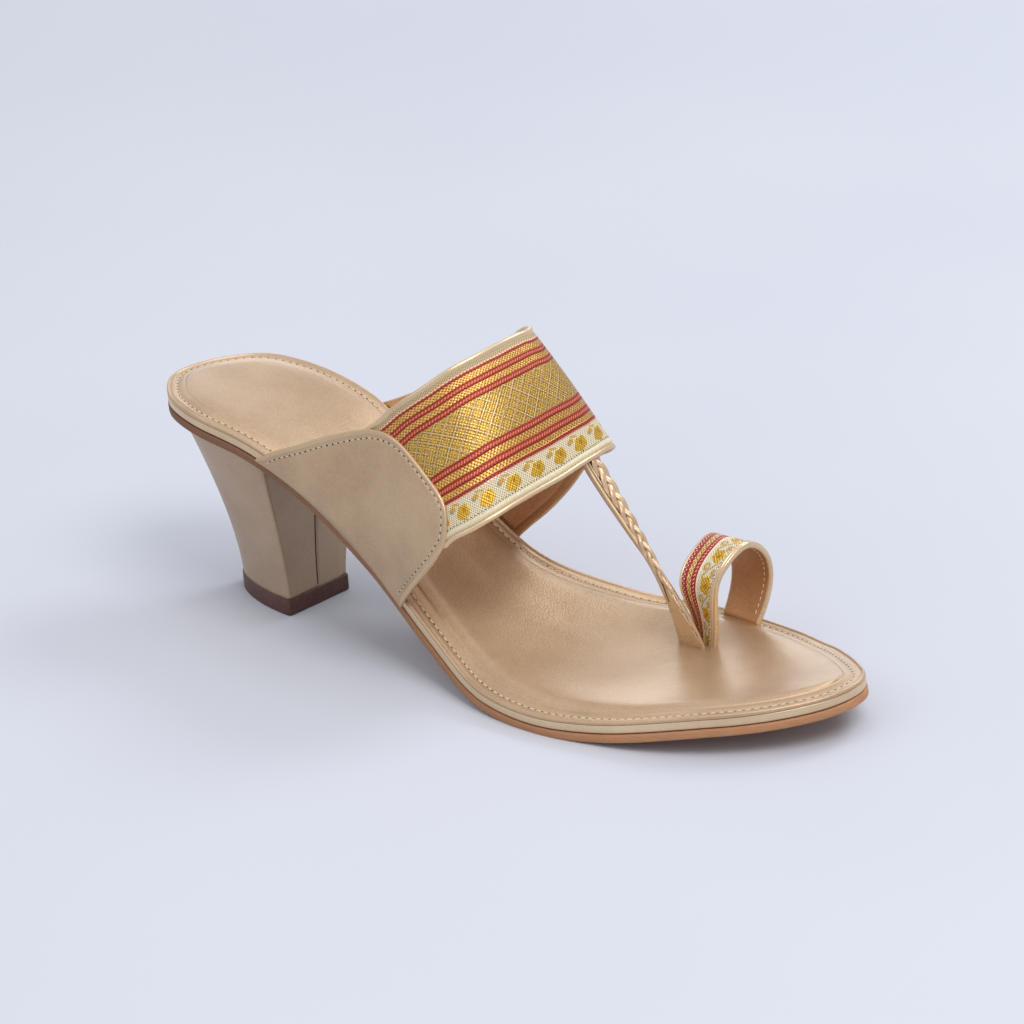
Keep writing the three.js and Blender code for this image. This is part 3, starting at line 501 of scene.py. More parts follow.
def brocade_mat():
    """The instep ribbon: red and salmon cords, gold twill, a lattice of flowers and a cream border of gold flowers.
    ribbon.x is mm along the ribbon, ribbon.y is mm across it from the back edge (0 to 43.6)."""
    m = Mat("ribbon_brocade"); T, s = m.uv()
    wob = m.noise(160, 2, 0.5) - 0.5
    s = s + wob * 0.4; T = T + wob * 0.35
    dots = beads(T, s, 1.18)
    spark = m.noise(1500, 2, 0.7); patch = m.noise(70, 3, 0.6)
    gold_hi = lin(246, 206, 112); fine = beads(T, s, 0.85)
    twill = m.mix(dots.step(0.2, 0.62), lin(140, 88, 40), m.mix(spark.step(0.35, 0.7), lin(206, 158, 78), gold_hi))
    twill = m.mix((beads(T + 0.6, s, 2.36).step(0.62, 0.8) * 0.5).clamp(), twill, lin(206, 104, 76))
    # lattice of dotted lines with a flower in each cell
    l0, l1, cell = 13.7, 26.3, 4.55
    q = s - (l0 + l1) / 2
    A, B = (T + q * 1.06) / cell, (T - q * 1.06) / cell
    fa, fb = A.fract() - 0.5, B.fract() - 0.5
    near = (0.5 - fa.abs()).min(0.5 - fb.abs())
    line = near.step(0.095, 0.045)
    r = (fa * fa + fb * fb).sqrt()
    petal = ((fb.atan2(fa) * 8).cos() * 0.5 + 0.5)
    flower = (r.step(0.11, 0.06) + r.band(0.16, 0.36, 0.03) * petal.step(0.15, 0.6)).clamp()
    lat_gold = m.mix((flower * 0.66 + dots.step(0.35, 0.85) * 0.34).clamp(), lin(148, 106, 42), m.mix(spark.step(0.3, 0.7), lin(216, 168, 66), lin(250, 216, 118)))
    lat = m.mix((line * (fine.step(0.2, 0.7) * 0.6 + 0.12)).clamp(), lat_gold, lin(228, 208, 164))
    col = m.mix(s.band(l0, l1, 0.15), twill, lat)
    # salmon cords with dark red twisted lines on both sides
    hcord = None
    for c in (8.45, 12.5, 27.5, 31.5):
        d = (s - c).abs()
        bead = ((T + (s - c) * 0.6) * (TAU / 0.98)).cos() * 0.5 + 0.5
        twist = ((T - (s - c) * 1.2) * (TAU / 0.98)).cos() * 0.5 + 0.5
        col = m.mix(d.step(1.16, 1.0), col, m.mix(twist.step(0.25, 0.95), lin(112, 24, 10), lin(170, 50, 26)))
        col = m.mix(d.step(0.44, 0.28), col, m.mix(bead.step(0.35, 0.9), lin(172, 56, 34), lin(226, 128, 92)))
        e = d.step(1.1, 0.7)
        hcord = e if hcord is None else hcord.max(e)
    # thin red lines, with a pale fringe on their outer side
    for c, wd, fr in ((4.75, 0.42, -0.62), (34.45, 0.42, 0.62)):
        d = (s - c).abs(); twist = ((T - (s - c) * 1.2) * (TAU / 1.05)).cos() * 0.5 + 0.5
        col = m.mix((s - c - fr).abs().step(0.42, 0.28), col, m.mix(dots.step(0.2, 0.7), lin(206, 140, 110), lin(236, 196, 172)))
        col = m.mix(d.step(wd + 0.1, wd - 0.1), col, m.mix(twist.step(0.15, 0.85), lin(112, 24, 12), lin(172, 50, 28)))
        hcord = hcord.max(d.step(wd + 0.2, wd - 0.1))
    # selvage at the back, olive: partly the ribbon's edge colour, partly painted shadow of the rolled binding beside it
    selvage_binding_shadow = m.mix(fine.step(0.2, 0.75), lin(138, 116, 76), lin(196, 176, 132))
    col = m.mix(s.step(3.7, 3.55), col, selvage_binding_shadow)
    # cream border
    per = 8.94
    k = T / per + 0.7685; f = (k.fract() - 0.5) * per              # mm from the motif's middle
    y = s - 38.45
    yy = y + f * 0.16
    rr = (f * f * 0.50 + yy * yy * 1.15).sqrt() + (yy.atan2(f) * 5 + 0.6).cos() * 0.16 + (patch - 0.5) * 0.5
    motif = rr.step(1.98, 1.72)
    heart = ((f - 0.5) * (f - 0.5) + (y + 0.4) * (y + 0.4)).sqrt().step(0.8, 0.35)
    vine = (s - 36.3 - f * 0.22).abs().step(0.42, 0.22) * (f + 1.5).abs().step(1.5, 1.1)
    g = f + 3.05
    leaf2 = ((g * g * 0.5 + (s - 36.75) * (s - 36.75)).sqrt() + (patch - 0.5) * 0.4).step(0.78, 0.55)
    h3 = ((k + 0.5).fract() - 0.5) * per
    leaf = ((h3 - 0.5) * (h3 - 0.5) * 0.6 + (s - 37.1) * (s - 37.1)).sqrt().step(0.72, 0.5)
    border = m.mix(fine.step(0.15, 0.65), lin(148, 134, 96), lin(230, 214, 180))
    border = m.mix(leaf * 0.75, border, lin(128, 112, 66))
    bgold = m.mix(fine.step(0.15, 0.7), lin(150, 102, 20), m.mix(spark.step(0.3, 0.7), lin(212, 160, 38), lin(248, 206, 78)))
    border = m.mix((vine * 0.9).max(leaf2).clamp(), border, m.mix(0.35, bgold, lin(150, 112, 40)))
    border = m.mix(motif, border, bgold)
    border = m.mix((motif * heart * 0.6).clamp(), border, lin(146, 96, 22))
    inb = s.step(35.15, 35.35)
    col = m.mix(inb, col, border)
    metal_mask = ((1 - inb.max(s.step(4.2, 4.0))) * (1 - hcord * 0.6) + motif * inb * 0.8).clamp()
    metal = metal_mask * 0.72
    rough = 0.46 - metal_mask * 0.12 + dots * 0.05
    h = (dots * 0.6 + spark * 0.25 + hcord * 0.7 + motif * inb * 0.5 + line * s.band(l0, l1, 0.15) * 0.3)
    return m.done(col, rough, metal, m.bump(h, 0.00020, 0.75))


def loop_ribbon_mat():
    """The toe loop's ribbon; ribbon.y is mm across from the heel-side edge (0 to 17)."""
    m = Mat("loop_brocade"); T, s = m.uv()
    wob = m.noise(200, 2, 0.5) - 0.5
    s = s + wob * 0.3; T = T + wob * 0.3
    dots, fine, spark, patch = beads(T, s, 1.25), beads(T, s, 0.9), m.noise(1500, 2, 0.7), m.noise(90, 3, 0.6)
    gold = m.mix(dots.step(0.25, 0.7), lin(138, 84, 36), m.mix(spark.step(0.3, 0.7), lin(206, 158, 78), lin(244, 210, 128)))
    col = m.mix((beads(T + 0.3, s, 2.5).step(0.66, 0.85) * 0.6).clamp(), gold, lin(240, 206, 176))
    # red edge with pale dots
    col = m.mix(s.step(2.95, 2.8), col, m.mix(beads(T, s, 1.3).step(0.62, 0.8), lin(150, 24, 18), lin(240, 200, 180)))
    col = m.mix((s - 2.75).abs().step(0.42, 0.28), col, lin(144, 22, 16))
    col = m.mix(s.step(0.85, 0.7), col, lin(226, 200, 172))
    # thick red cord with a row of pale dots
    d = (s - 6.25).abs()
    bead = ((T - (s - 6.25) * 0.6) * (TAU / 1.2)).cos() * 0.5 + 0.5
    twist = ((T - (s - 6.25) * 1.3) * (TAU / 1.1)).cos() * 0.5 + 0.5
    col = m.mix(d.step(1.22, 1.06), col, m.mix(twist.step(0.2, 0.9), lin(120, 14, 12), lin(176, 34, 24)))
    col = m.mix((bead.step(0.55, 0.85) * d.step(0.52, 0.3)).clamp(), col, lin(236, 158, 138))
    col = m.mix((s - 7.75).abs().step(0.40, 0.28), col, lin(236, 216, 184))
    # cream ground with gold flowers and a vine
    per = 9.9
    k = T / per + 0.35; f = (k.fract() - 0.5) * per; y = s - 11.9 + f * 0.12
    rr = (f * f * 0.72 + y * y * 1.0).sqrt() + (y.atan2(f) * 5 + 0.8).cos() * 0.24 + (patch - 0.5) * 0.6
    motif = rr.step(2.42, 2.1)
    heart = ((f + 0.3) * (f + 0.3) + (y - 0.2) * (y - 0.2)).sqrt().step(1.0, 0.45)
    g = ((k + 0.5).fract() - 0.5) * per
    vine = (s - 11.6 - (k * TAU).sin() * 1.9).abs().step(0.62, 0.38)
    curl = (((g - 0.7) * (g - 0.7) + (s - 9.9) * (s - 9.9)).sqrt() - 1.0).abs().step(0.5, 0.3)
    leaf = ((g + 1.5) * (g + 1.5) * 0.35 + (s - 13.6) * (s - 13.6)).sqrt().step(1.05, 0.75)
    leaf2 = ((g - 0.2) * (g - 0.2) * 0.5 + (s - 9.4) * (s - 9.4)).sqrt().step(0.8, 0.5)
    ground = m.mix(fine.step(0.15, 0.6), lin(150, 136, 100), lin(230, 218, 190))
    bgold = m.mix(dots.step(0.15, 0.7), lin(146, 96, 14), m.mix(spark.step(0.3, 0.7), lin(214, 160, 34), lin(250, 208, 70)))
    vgold = m.mix(dots.step(0.2, 0.7), lin(132, 100, 40), lin(200, 164, 76))
    ground = m.mix((vine.max(curl).max(leaf).max(leaf2) * 0.85).clamp(), ground, vgold)
    ground = m.mix(motif, ground, bgold)
    ground = m.mix((motif * heart * 0.7).clamp(), ground, lin(146, 90, 20))
    ins = s.step(8.05, 8.2)
    col = m.mix(ins, col, ground)
    metal = (s.band(2.95, 4.95, 0.1) * 0.5 + motif * ins * 0.5).clamp()
    h = dots * 0.6 + fine * 0.3 + spark * 0.2 + d.step(1.15, 0.6) * 0.8 + motif * ins * 0.6
    return m.done(col, 0.5 - metal * 0.2, metal, m.bump(h, 0.00022, 0.8))


def cream_mat():
    m = Mat("cream_piping", Roughness=0.45); n = m.noise(1400, 3, 0.6); w = m.noise(90, 3)
    return m.done(m.mix((n.step(0.3, 0.7) * 0.5 + w * 0.3).clamp(), lin(204, 188, 150), lin(232, 220, 188)), None, None, m.bump(n, 0.00003, 0.4))


brocade, loop_ribbon, cream_pipe = brocade_mat(), loop_ribbon_mat(), cream_mat()

# ------------------------------------------------------------------ sole
ROWS = 240
U = np.linspace(0, 1, ROWS + 1)


def stack(name, section, mats, col_mats, cut, bottom, pad=None, columns=24, tread=False, slot=None, node=None):
    """One layer of the sole. section: (inset, height, material) from the inside of the top, out over the edge and down."""
    k = len(section); M = columns; rows = []
    x = LENGTH * (1 - np.cos(math.pi * U)) / 2
    extra = recess(x) if cut else 0 * x

    def edge(side):
        out = []
        for s, h, *_ in section:
            px, py = outline_point(U, side, s + extra); p = on_seat(px, py, np.full_like(px, h))
            if tread:
                low = p[:, 2] < GROUND; p[low, 2] = GROUND
            out.append(p)
        return np.stack(out, 1)
    lat, med = edge(-1), edge(1)

    def across(inset, h, n, flip, pad_f=None):
        ax, ay = outline_point(U, -1, inset + extra); bx, by = outline_point(U, 1, inset + extra); out = []
        for v in np.linspace(0, 1, n + 2)[1:-1]:
            v = 0.5 - 0.5 * math.cos(math.pi * v); v = 1 - v if flip else v
            X, Y = ax + (bx - ax) * v, ay + (by - ay) * v
            edge_d = inset + np.minimum(v, 1 - v) * np.hypot(bx - ax, by - ay)
            hh = np.full_like(X, h) + (pad_f(edge_d, X, Y) if pad_f else 0)
            p = on_seat(X, Y, hh)
            if tread:
                low = p[:, 2] < GROUND; p[low, 2] = GROUND
            out.append(p)
        return np.stack(out, 1)
    s0, h0 = section[0][0], section[0][1]; s1, h1 = section[-1][0], section[-1][1]
    P = np.concatenate([lat[:, ::-1], across(s0, h0, M, False, pad), med, across(s1, h1, M, True)], 1)
    cm = [section[::-1][min(i + 1, k - 1)][2] for i in range(k)]
    cm = [s[2] for s in section[::-1]] + [section[0][2]] * M + [s[2] for s in section] + [section[-1][2]] * M
    ob = loft(name, P, mats, col_mats=cm, cap=False, merge=5e-6, slot=slot)
    if node:
        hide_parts(node)
    return ob


def pad_height(d, X, Y):
    """The padding under the cover: a soft ridge just inside the stitching, a little lower in the middle."""
    lat = np.where(Y < 0, 1.0, 0.7)
    puff = (0.28 + 1.15 * smooth((X - 82) / 26) * lat) * (1 - 0.35 * smooth((X - 190) / 30))
    up, down = smooth((d - 4.7) / 5.0), smooth((d - 10.0) / 16.0)
    return puff * up - (0.22 + 0.42 * smooth((X - 82) / 26) * lat) * down


foot_section = [(6.0, 0.42, 0), (5.2, 0.38, 0), (4.6, 0.29, 0), (4.1, 0.14, 0), (3.7, -0.04, 0), (3.4, -0.17, 0), (3.13, -0.23, 0), (2.85, -0.17, 0), (2.5, -0.05, 0), (2.0, 0.01, 0), (1.62, 0.0, 0),
                (1.36, -0.05, 0), (1.18, -0.17, 0), (1.06, -0.24, 0), (0.95, -0.16, 0), (0.82, 0.05, 0), (0.64, 0.19, 0), (0.42, 0.22, 0), (0.2, 0.12, 0), (0.04, -0.1, 0), (-0.03, -0.38, 0), (-0.01, -0.66, 0), (0.06, -0.86, 0), (0.17, -0.96, 0), (0.4, -1.0, 0), (0.4, -1.35, 0), (5.0, -1.35, 0)]
footbed = stack("footbed_cover", foot_section, leather_foot, None, True, None, pad=pad_height, slot="footbed_cover", node="footbed")
board_section = [(5.0, -1.42, 0), (0.6, -1.42, 0), (0.36, -1.16, 0), (0.2, -1.02, 0), (0.1, -1.06, 0), (0.05, -1.25, 0), (0.03, -1.6, 0), (0.04, -2.1, 0), (0.07, -2.6, 0), (0.14, -3.0, 0), (0.28, -3.26, 0), (0.55, -3.4, 0), (1.0, -3.46, 0), (5.0, -3.56, 0)]
board = stack("board_wrap", board_section, leather_wrap, None, True, None, slot="wrap", node="insole_board")
sole_section = [(5.0, -3.64, 0), (0.5, -3.66, 0), (0.18, -3.72, 0), (0.02, -3.86, 0), (-0.03, -4.3, 0), (-0.02, -5.0, 0), (0.02, -5.6, 0), (0.12, -5.95, 0), (0.34, -6.12, 0), (0.9, -6.14, 0), (5.0, -6.14, 0)]
outsole = stack("outsole_sheet", sole_section, outsole_m, None, False, None, tread=True, slot="outsole_sheet", node="outsole")


def perimeter(inset, h, u0=0.0, u1=1.0, side=None, cut=True, n=900):
    """A line round the footbed at an inset, with its surface normals."""
    u = np.linspace(u0, u1, n)
    def one(sd, uu):
        x = LENGTH * (1 - np.cos(math.pi * uu)) / 2
        px, py = outline_point(uu, sd, inset + (recess(x) if cut else 0)); return on_seat(px, py, np.full_like(px, h)), seat_normal(px, py)
    return one(side, u)


def u_of(x):
    return float(turn_of(x))


# stitching round the footbed, in two loops, round the heel and round the toe, that stop under the side panels
def foot_run(name, x0, x1, side, seed):
    P, N = perimeter(3.13, -0.22, u_of(x0), u_of(x1), side)
    stitches(name, P, N, 2.4, thread_foot, length=0.70, radius=0.22, lift=0.03, hole=needle_hole_shade, hole_r=0.22, seed=seed, sink=0.14, slot="footbed_cover")


def foot_loop(name, x0, toe, seed):
    u = np.linspace(u_of(x0), 1.0 if toe else 0.0, 700)
    a, na = perimeter(3.13, -0.22, u[0], u[-1], -1, n=700); b, nb = perimeter(3.13, -0.22, u[0], u[-1], 1, n=700)
    P, N = np.concatenate([a, b[::-1]]), np.concatenate([na, nb[::-1]])
    keep = np.concatenate([[True], np.linalg.norm(np.diff(P, axis=0), axis=1) > 1e-4]); P, N = P[keep], N[keep]
    stitches(name, P, N, 2.4, thread_foot, length=0.70, radius=0.22, lift=0.03, hole=needle_hole_shade, hole_r=0.22, seed=seed, sink=0.14, slot="footbed_cover")


foot_loop("footbed_stitch_heel", 60.0, False, 3)
foot_loop("footbed_stitch_toe", 100.0, True, 4)

# ------------------------------------------------------------------ heel
def d_rim(inset, sides=40, breast=24, corner=1.6):
    """Plan of the lift as a D, open across the breast; starts and ends at the breast's two corners, which round_loop
    later joins and gives small round corners.
    """
    W, D, B = LIFT["half"] - inset, LIFT["depth"] - 2 * inset, LIFT["breast"] - inset
    a = np.linspace(0, math.pi, 2 * sides + 1)
    c = np.cos(a)
    x = B - D * np.maximum(np.sin(a), 0) ** LIFT["power"]; y = -W * np.sign(c) * np.abs(c) ** LIFT["power"]
    t = math.radians(LIFT["turn"])
    return np.stack([x * math.cos(t) - y * math.sin(t), x * math.sin(t) + y * math.cos(t) + LIFT["offset"]], -1)


def seat_rim(sides=40):
    a = np.linspace(0, math.pi, 2 * sides + 1); x = np.maximum(HEEL["breast"] * (1 - np.maximum(np.sin(a), 0) ** LIFT["power"]), 0)
    inset = HEEL["edge"] + HEEL["back"] * np.maximum(np.sin(a), 0) ** 3
    u = turn_of(x); pl = np.stack(outline_point(u, -1, inset), -1); pm = np.stack(outline_point(u, 1, inset), -1)
    P = np.where((np.arange(2 * sides + 1) <= sides)[:, None], pl, pm); P[sides] = [inset[sides], 0]
    return P


def under_sole(x, y, gap):
    px, py = np.array(x, float), np.array(y, float)
    for _ in range(6):
        p = on_seat(px, py, np.full_like(px, -(SOLE_BOTTOM + gap))); px, py = px + x - p[:, 0], py + y - p[:, 1]
    return p[:, 2]


def round_loop(P, r, seam=None, n_corner=7, n_breast=30, n_side=90):
    """Closes a D rim with a straight breast and rounds its two corners; returns a fixed number of points."""
    a, b = P[0], P[-1]; d = unit(b - a)
    L = path_length(P)
    cut = lambda s: np.array([np.interp(s, L, P[:, 0]), np.interp(s, L, P[:, 1])])
    side = np.stack([cut(s) for s in np.linspace(r, L[-1] - r, n_side)])
    def corner(p0, c, p1):
        t = np.linspace(0, 1, n_corner + 2)[1:-1, None]; return (1 - t) ** 2 * p0 + 2 * t * (1 - t) * c + t * t * p1
    m0, l0 = b - d * r, a + d * r
    t = np.linspace(0, 1, n_breast)[:, None]; breast = m0 + (l0 - m0) * t
    return np.concatenate([side, corner(side[-1], b, m0), breast, corner(l0, a, side[0])])


def heel_block():
    LEV = 44; low, high = d_rim(LIFT_PROUD), seat_rim(); rings = []
    base = GROUND + LIFT_HEIGHT - 0.02
    n_side, n_corner, n_breast = 90, 7, 40
    hz = None
    for i in range(LEV + 1):
        t = i / LEV; g = t ** HEEL["swell"]
        rim = low + (high - low) * g
        r = 1.3 + 1.2 * smooth((t - 0.8) / 0.2)
        ring = round_loop(rim, r, n_breast=n_breast)
        top = round_loop(high, 2.5, n_breast=n_breast)
        if hz is None:
            hz = under_sole(top[:, 0], top[:, 1], 0.02)
        z = base + (hz - base) * t
        # seam down the breast: one edge of the wrap lies on the other
        q = np.arange(n_breast); b0 = n_side + n_corner; mid = ring[b0:b0 + n_breast]
        out = unit(np.array([[-(mid[-1] - mid[0])[1], (mid[-1] - mid[0])[0]]]))[0]
        if out[0] < 0:
            out = -out
        f = q / (n_breast - 1) - 0.5                                         # medial to lateral
        width = np.linalg.norm(mid[-1] - mid[0]); dist = f * width
        wav = 0.25 * math.sin(t * 5.0)
        raised = 0.28 * smooth((-(dist - wav)) / 0.35 + 0.0) * smooth((width / 2 - np.abs(dist)) / 3)
        groove = -0.55 * np.exp(-((dist - wav - 0.12) / 0.16) ** 2)
        ring = ring.copy(); ring[b0:b0 + n_breast] += out * (raised + groove * 0)[:, None]
        rings.append(np.concatenate([ring, z[:, None]], 1))
    P = np.stack(rings)
    ob = loft("heel_wrap", P, leather_heel, slot="heel_wrap", merge=2e-6)
    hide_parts("heel_block")
    # painted shadow: a dark line where the wrap's edges meet, standing for the shade in the seam
    line, nrm = [], []
    for i in range(LEV + 1):
        b0 = n_side + n_corner; mid = P[i, b0:b0 + n_breast]; w = np.linalg.norm(mid[-1] - mid[0]); wav = 0.25 * math.sin(i / LEV * 5.0)
        f = 0.5 + (wav + 0.1) / w; c = mid[0] * (1 - f) + mid[-1] * f; line.append(c); nrm.append([1, -0.1, 0])
    line, nrm = np.array(line), np.array(nrm, float)
    tube("heel_seam", line[1:-1], nrm[1:-1], ellipse(0.19, 0.12, 8, 0.02), seam_shadow_mat, slot="heel_wrap")
    return P


heel_P = heel_block()


def top_lift():
    rings = []; z0, z1 = GROUND, GROUND + LIFT_HEIGHT
    for inset, z in ((0.55, z0), (0.2, z0 + 0.08), (0.04, z0 + 0.35), (0.0, z0 + 0.8), (0.0, z1 - 0.5), (0.06, z1 - 0.16), (0.24, z1), (1.6, z1 + 0.01)):
        ring = round_loop(d_rim(inset), 1.1); rings.append(np.concatenate([ring, np.full((len(ring), 1), z)], 1))
    ob = loft("heel_lift", np.stack(rings), lift_m, slot="lift_rubber"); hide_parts("top_lift")


top_lift()

# ------------------------------------------------------------------ instep band
def band_rows(n):
    d = np.linspace(0, 180, 721); w = 0.5; x = back_at(d) + (front_at(d) - back_at(d)) * w
    P = arch(x, np.radians(d)); L = path_length(P); at = np.linspace(2.4, L[-1] - 2.4, n)
    return np.interp(at, L, d), at


BAND_N = 300
DEG, ALONG = band_rows(BAND_N)
B0, F0 = back_at(DEG), front_at(DEG)
_ws = np.linspace(0, 1, 17)
BAND_W = np.array([path_length(arch(b + (f - b) * _ws, np.full(17, math.radians(d))))[-1] for b, f, d in zip(B0, F0, DEG)])
FREE = smooth((DEG - 23) / 5) * smooth((158 - DEG) / 5)       # 1 where the band shows, 0 under the side panels
WIDTH = 43.6


def band_point(w, out):
    x = B0 + (F0 - B0) * w
    return on_arch(x, DEG, out)


WALL_IN = 1.35


def instep_band():
    cols, uvs, cm = [], [], []
    under = 2.2 * (1 - FREE)

    def lift(out): return out if out < -0.6 else out * FREE - 0.1 * (1 - FREE)
    def back(d, out, mat): cols.append(band_point((d + under) / BAND_W, lift(out))); uvs.append(np.full(BAND_N, d)); cm.append(mat)
    def front(d, out, mat): cols.append(band_point(1 - (d + under) / BAND_W, lift(out))); uvs.append(np.full(BAND_N, WIDTH - d)); cm.append(mat)
    for d, o in ((0.9, -WALL_IN), (0.45, -1.28), (0.12, -1.0), (0.0, -0.6), (0.03, -0.2), (0.2, 0.14), (0.5, 0.36), (0.9, 0.45), (1.3, 0.42), (1.65, 0.28), (1.9, 0.1), (2.05, -0.04)):
        back(d, o, 1)
    back(2.15, -0.12, 0); back(2.35, -0.1, 0); back(2.7, -0.03, 0)
    n = 40
    for k in range(n + 1):
        f = k / n; lo, hi = 3.0, 2.8
        w = (lo + (BAND_W - lo - hi) * f) / BAND_W
        cols.append(band_point(w, 0.0 * FREE - 0.1 * (1 - FREE))); uvs.append(lo + (WIDTH - lo - hi) * f + 0 * w); cm.append(0)
    for d, o, mt in ((2.64, -0.07, 2), (2.52, 0.06, 2), (2.28, 0.23, 2), (1.98, 0.28, 2), (1.68, 0.21, 2), (1.44, 0.02, 2), (1.34, -0.16, 3), (1.25, -0.16, 1), (1.15, 0.04, 1), (0.95, 0.24, 1), (0.65, 0.3, 1), (0.35, 0.2, 1), (0.12, -0.03, 1), (0.0, -0.35, 1), (0.02, -0.7, 1), (0.15, -1.0, 1), (0.45, -1.26, 1), (0.9, -WALL_IN, 3)):
        front(d, o, mt)
    for k in range(1, 14):
        w = 1 - (0.9 + (BAND_W - 1.8) * k / 14) / BAND_W
        cols.append(band_point(w, -WALL_IN)); uvs.append(WIDTH * (1 - k / 14) + 0 * w); cm.append(3)
    P = np.stack(cols, 1); uv = np.stack([np.broadcast_to(ALONG[:, None], P.shape[:2]), np.stack(uvs, 1)], -1)
    rows = [[3 if FREE[i] < 0.45 and m else m for m in cm] for i in range(BAND_N)]
    ob = loft("instep_band", P, [brocade, leather_bind, cream_pipe, leather_lining], col_mats=rows, uv=uv, slot="strap", top=len(cm) - 13)
    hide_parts("upper")
    return ob


instep_band()


def band_line(w_mm_from_front=None, w_mm_from_back=None, out=0.0, lo=0, hi=180):
    k = (DEG >= lo) & (DEG <= hi)
    w = 1 - w_mm_from_front / BAND_W if w_mm_from_front is not None else w_mm_from_back / BAND_W
    x = B0 + (F0 - B0) * w; P = on_arch(x, DEG, out); N = arch_normal(x, np.radians(DEG)) * (1 if out > -1 else -1)
    return P[k], N[k]


# dotted stitching along the ribbon's cream edge
P, N = band_line(w_mm_from_front=3.05, out=0.02, lo=29, hi=152)
stitches("band_front_stitch", P, N, 1.15, thread_pale, length=0.62, radius=0.11, lift=0.02, hole=needle_hole_shade, hole_r=0.15, seed=7, sink=0.06, slot="strap")
# stitching on the lining near both edges
P, N = band_line(w_mm_from_front=2.3, out=-WALL_IN - 0.02, lo=30, hi=150)
stitches("lining_front_stitch", P, N, 2.1, thread_pale, length=0.7, radius=0.17, lift=0.03, seed=8, sink=0.1, slot="strap")
P, N = band_line(w_mm_from_back=2.3, out=-WALL_IN - 0.02, lo=30, hi=150)
stitches("lining_back_stitch", P, N, 2.1, thread_pale, length=0.7, radius=0.17, lift=0.03, seed=9, sink=0.1, slot="strap")

# ------------------------------------------------------------------ side panels
LATERAL_PANEL = [(50.0, 0.0), (53.8, 5.6), (58.0, 10.6), (63.7, 14.7), (69.8, 18.2), (76, 21.8), (82.5, 25.2), (86.6, 27.3), (90.7, 29.3), (95.0, 31.3), (99.3, 32.9), (103.8, 34.2), (108.5, 34.9), (113.3, 35.2), (118.3, 35.5), (122.2, 35.9),
                 (125.2, 36.0), (126.9, 35.1), (127.9, 32.8), (128.0, 28.8), (125.7, 23.7), (120.5, 16.2), (114.2, 9.2), (108.2, 2.8), (105.6, 0.0)]
MEDIAL_PANEL = [(53.0, 180.0), (55.0, 178.3), (58.4, 175.4), (62.9, 171.9), (72, 166.0), (82, 160.0), (88.5, 155.6), (94.4, 151.6), (100, 148.6), (106, 146.8), (112, 146.0), (118, 145.6), (123.5, 145.2), (127.4, 145.4), (130, 146.8), (131, 150.0),
                (129.7, 154.6), (127.0, 160.7), (122.9, 167.3), (118.2, 172.7), (113.3, 176.9), (109.0, 180.0)]
PANEL_OUT, PANEL_IN, PANEL_BASE = 0.82, -0.18, 1.25


class Chart:
    """Flat map of one side of the arch: x, and the length up the side from its foot."""
    def __init__(self, medial):
        self.m = medial; self.x = np.linspace(40, 150, 111); self.d = np.linspace(0, 75, 151)
        deg = 180 - self.d if medial else self.d
        P = arch(self.x[:, None], np.radians(deg)[None]); seg = np.linalg.norm(np.diff(P, axis=1), axis=-1)
        self.L = np.concatenate([np.zeros((len(self.x), 1)), np.cumsum(seg, 1)], 1)

    def flat(self, x, deg):
        d = 180 - deg if self.m else deg; i = np.clip((x - 40).astype(int), 0, 109); f = x - 40 - i
        return np.array([np.interp(dd, self.d, self.L[ii] * (1 - ff) + self.L[ii + 1] * ff) for dd, ii, ff in zip(d, i, f)])

    def deg(self, x, Y):
        i = np.clip((x - 40).astype(int), 0, 109); f = x - 40 - i
        d = np.array([np.interp(yy, self.L[ii] * (1 - ff) + self.L[ii + 1] * ff, self.d) for yy, ii, ff in zip(Y, i, f)])
        return 180 - d if self.m else d


def spline2(P, n):
    P = np.asarray(P, float); L = path_length(P); t = np.linspace(0, L[-1], n)
    fx, fy = curve(L, P[:, 0]), curve(L, P[:, 1]); Q = np.stack([fx(t), fy(t)], -1)
    return resample(Q, n)


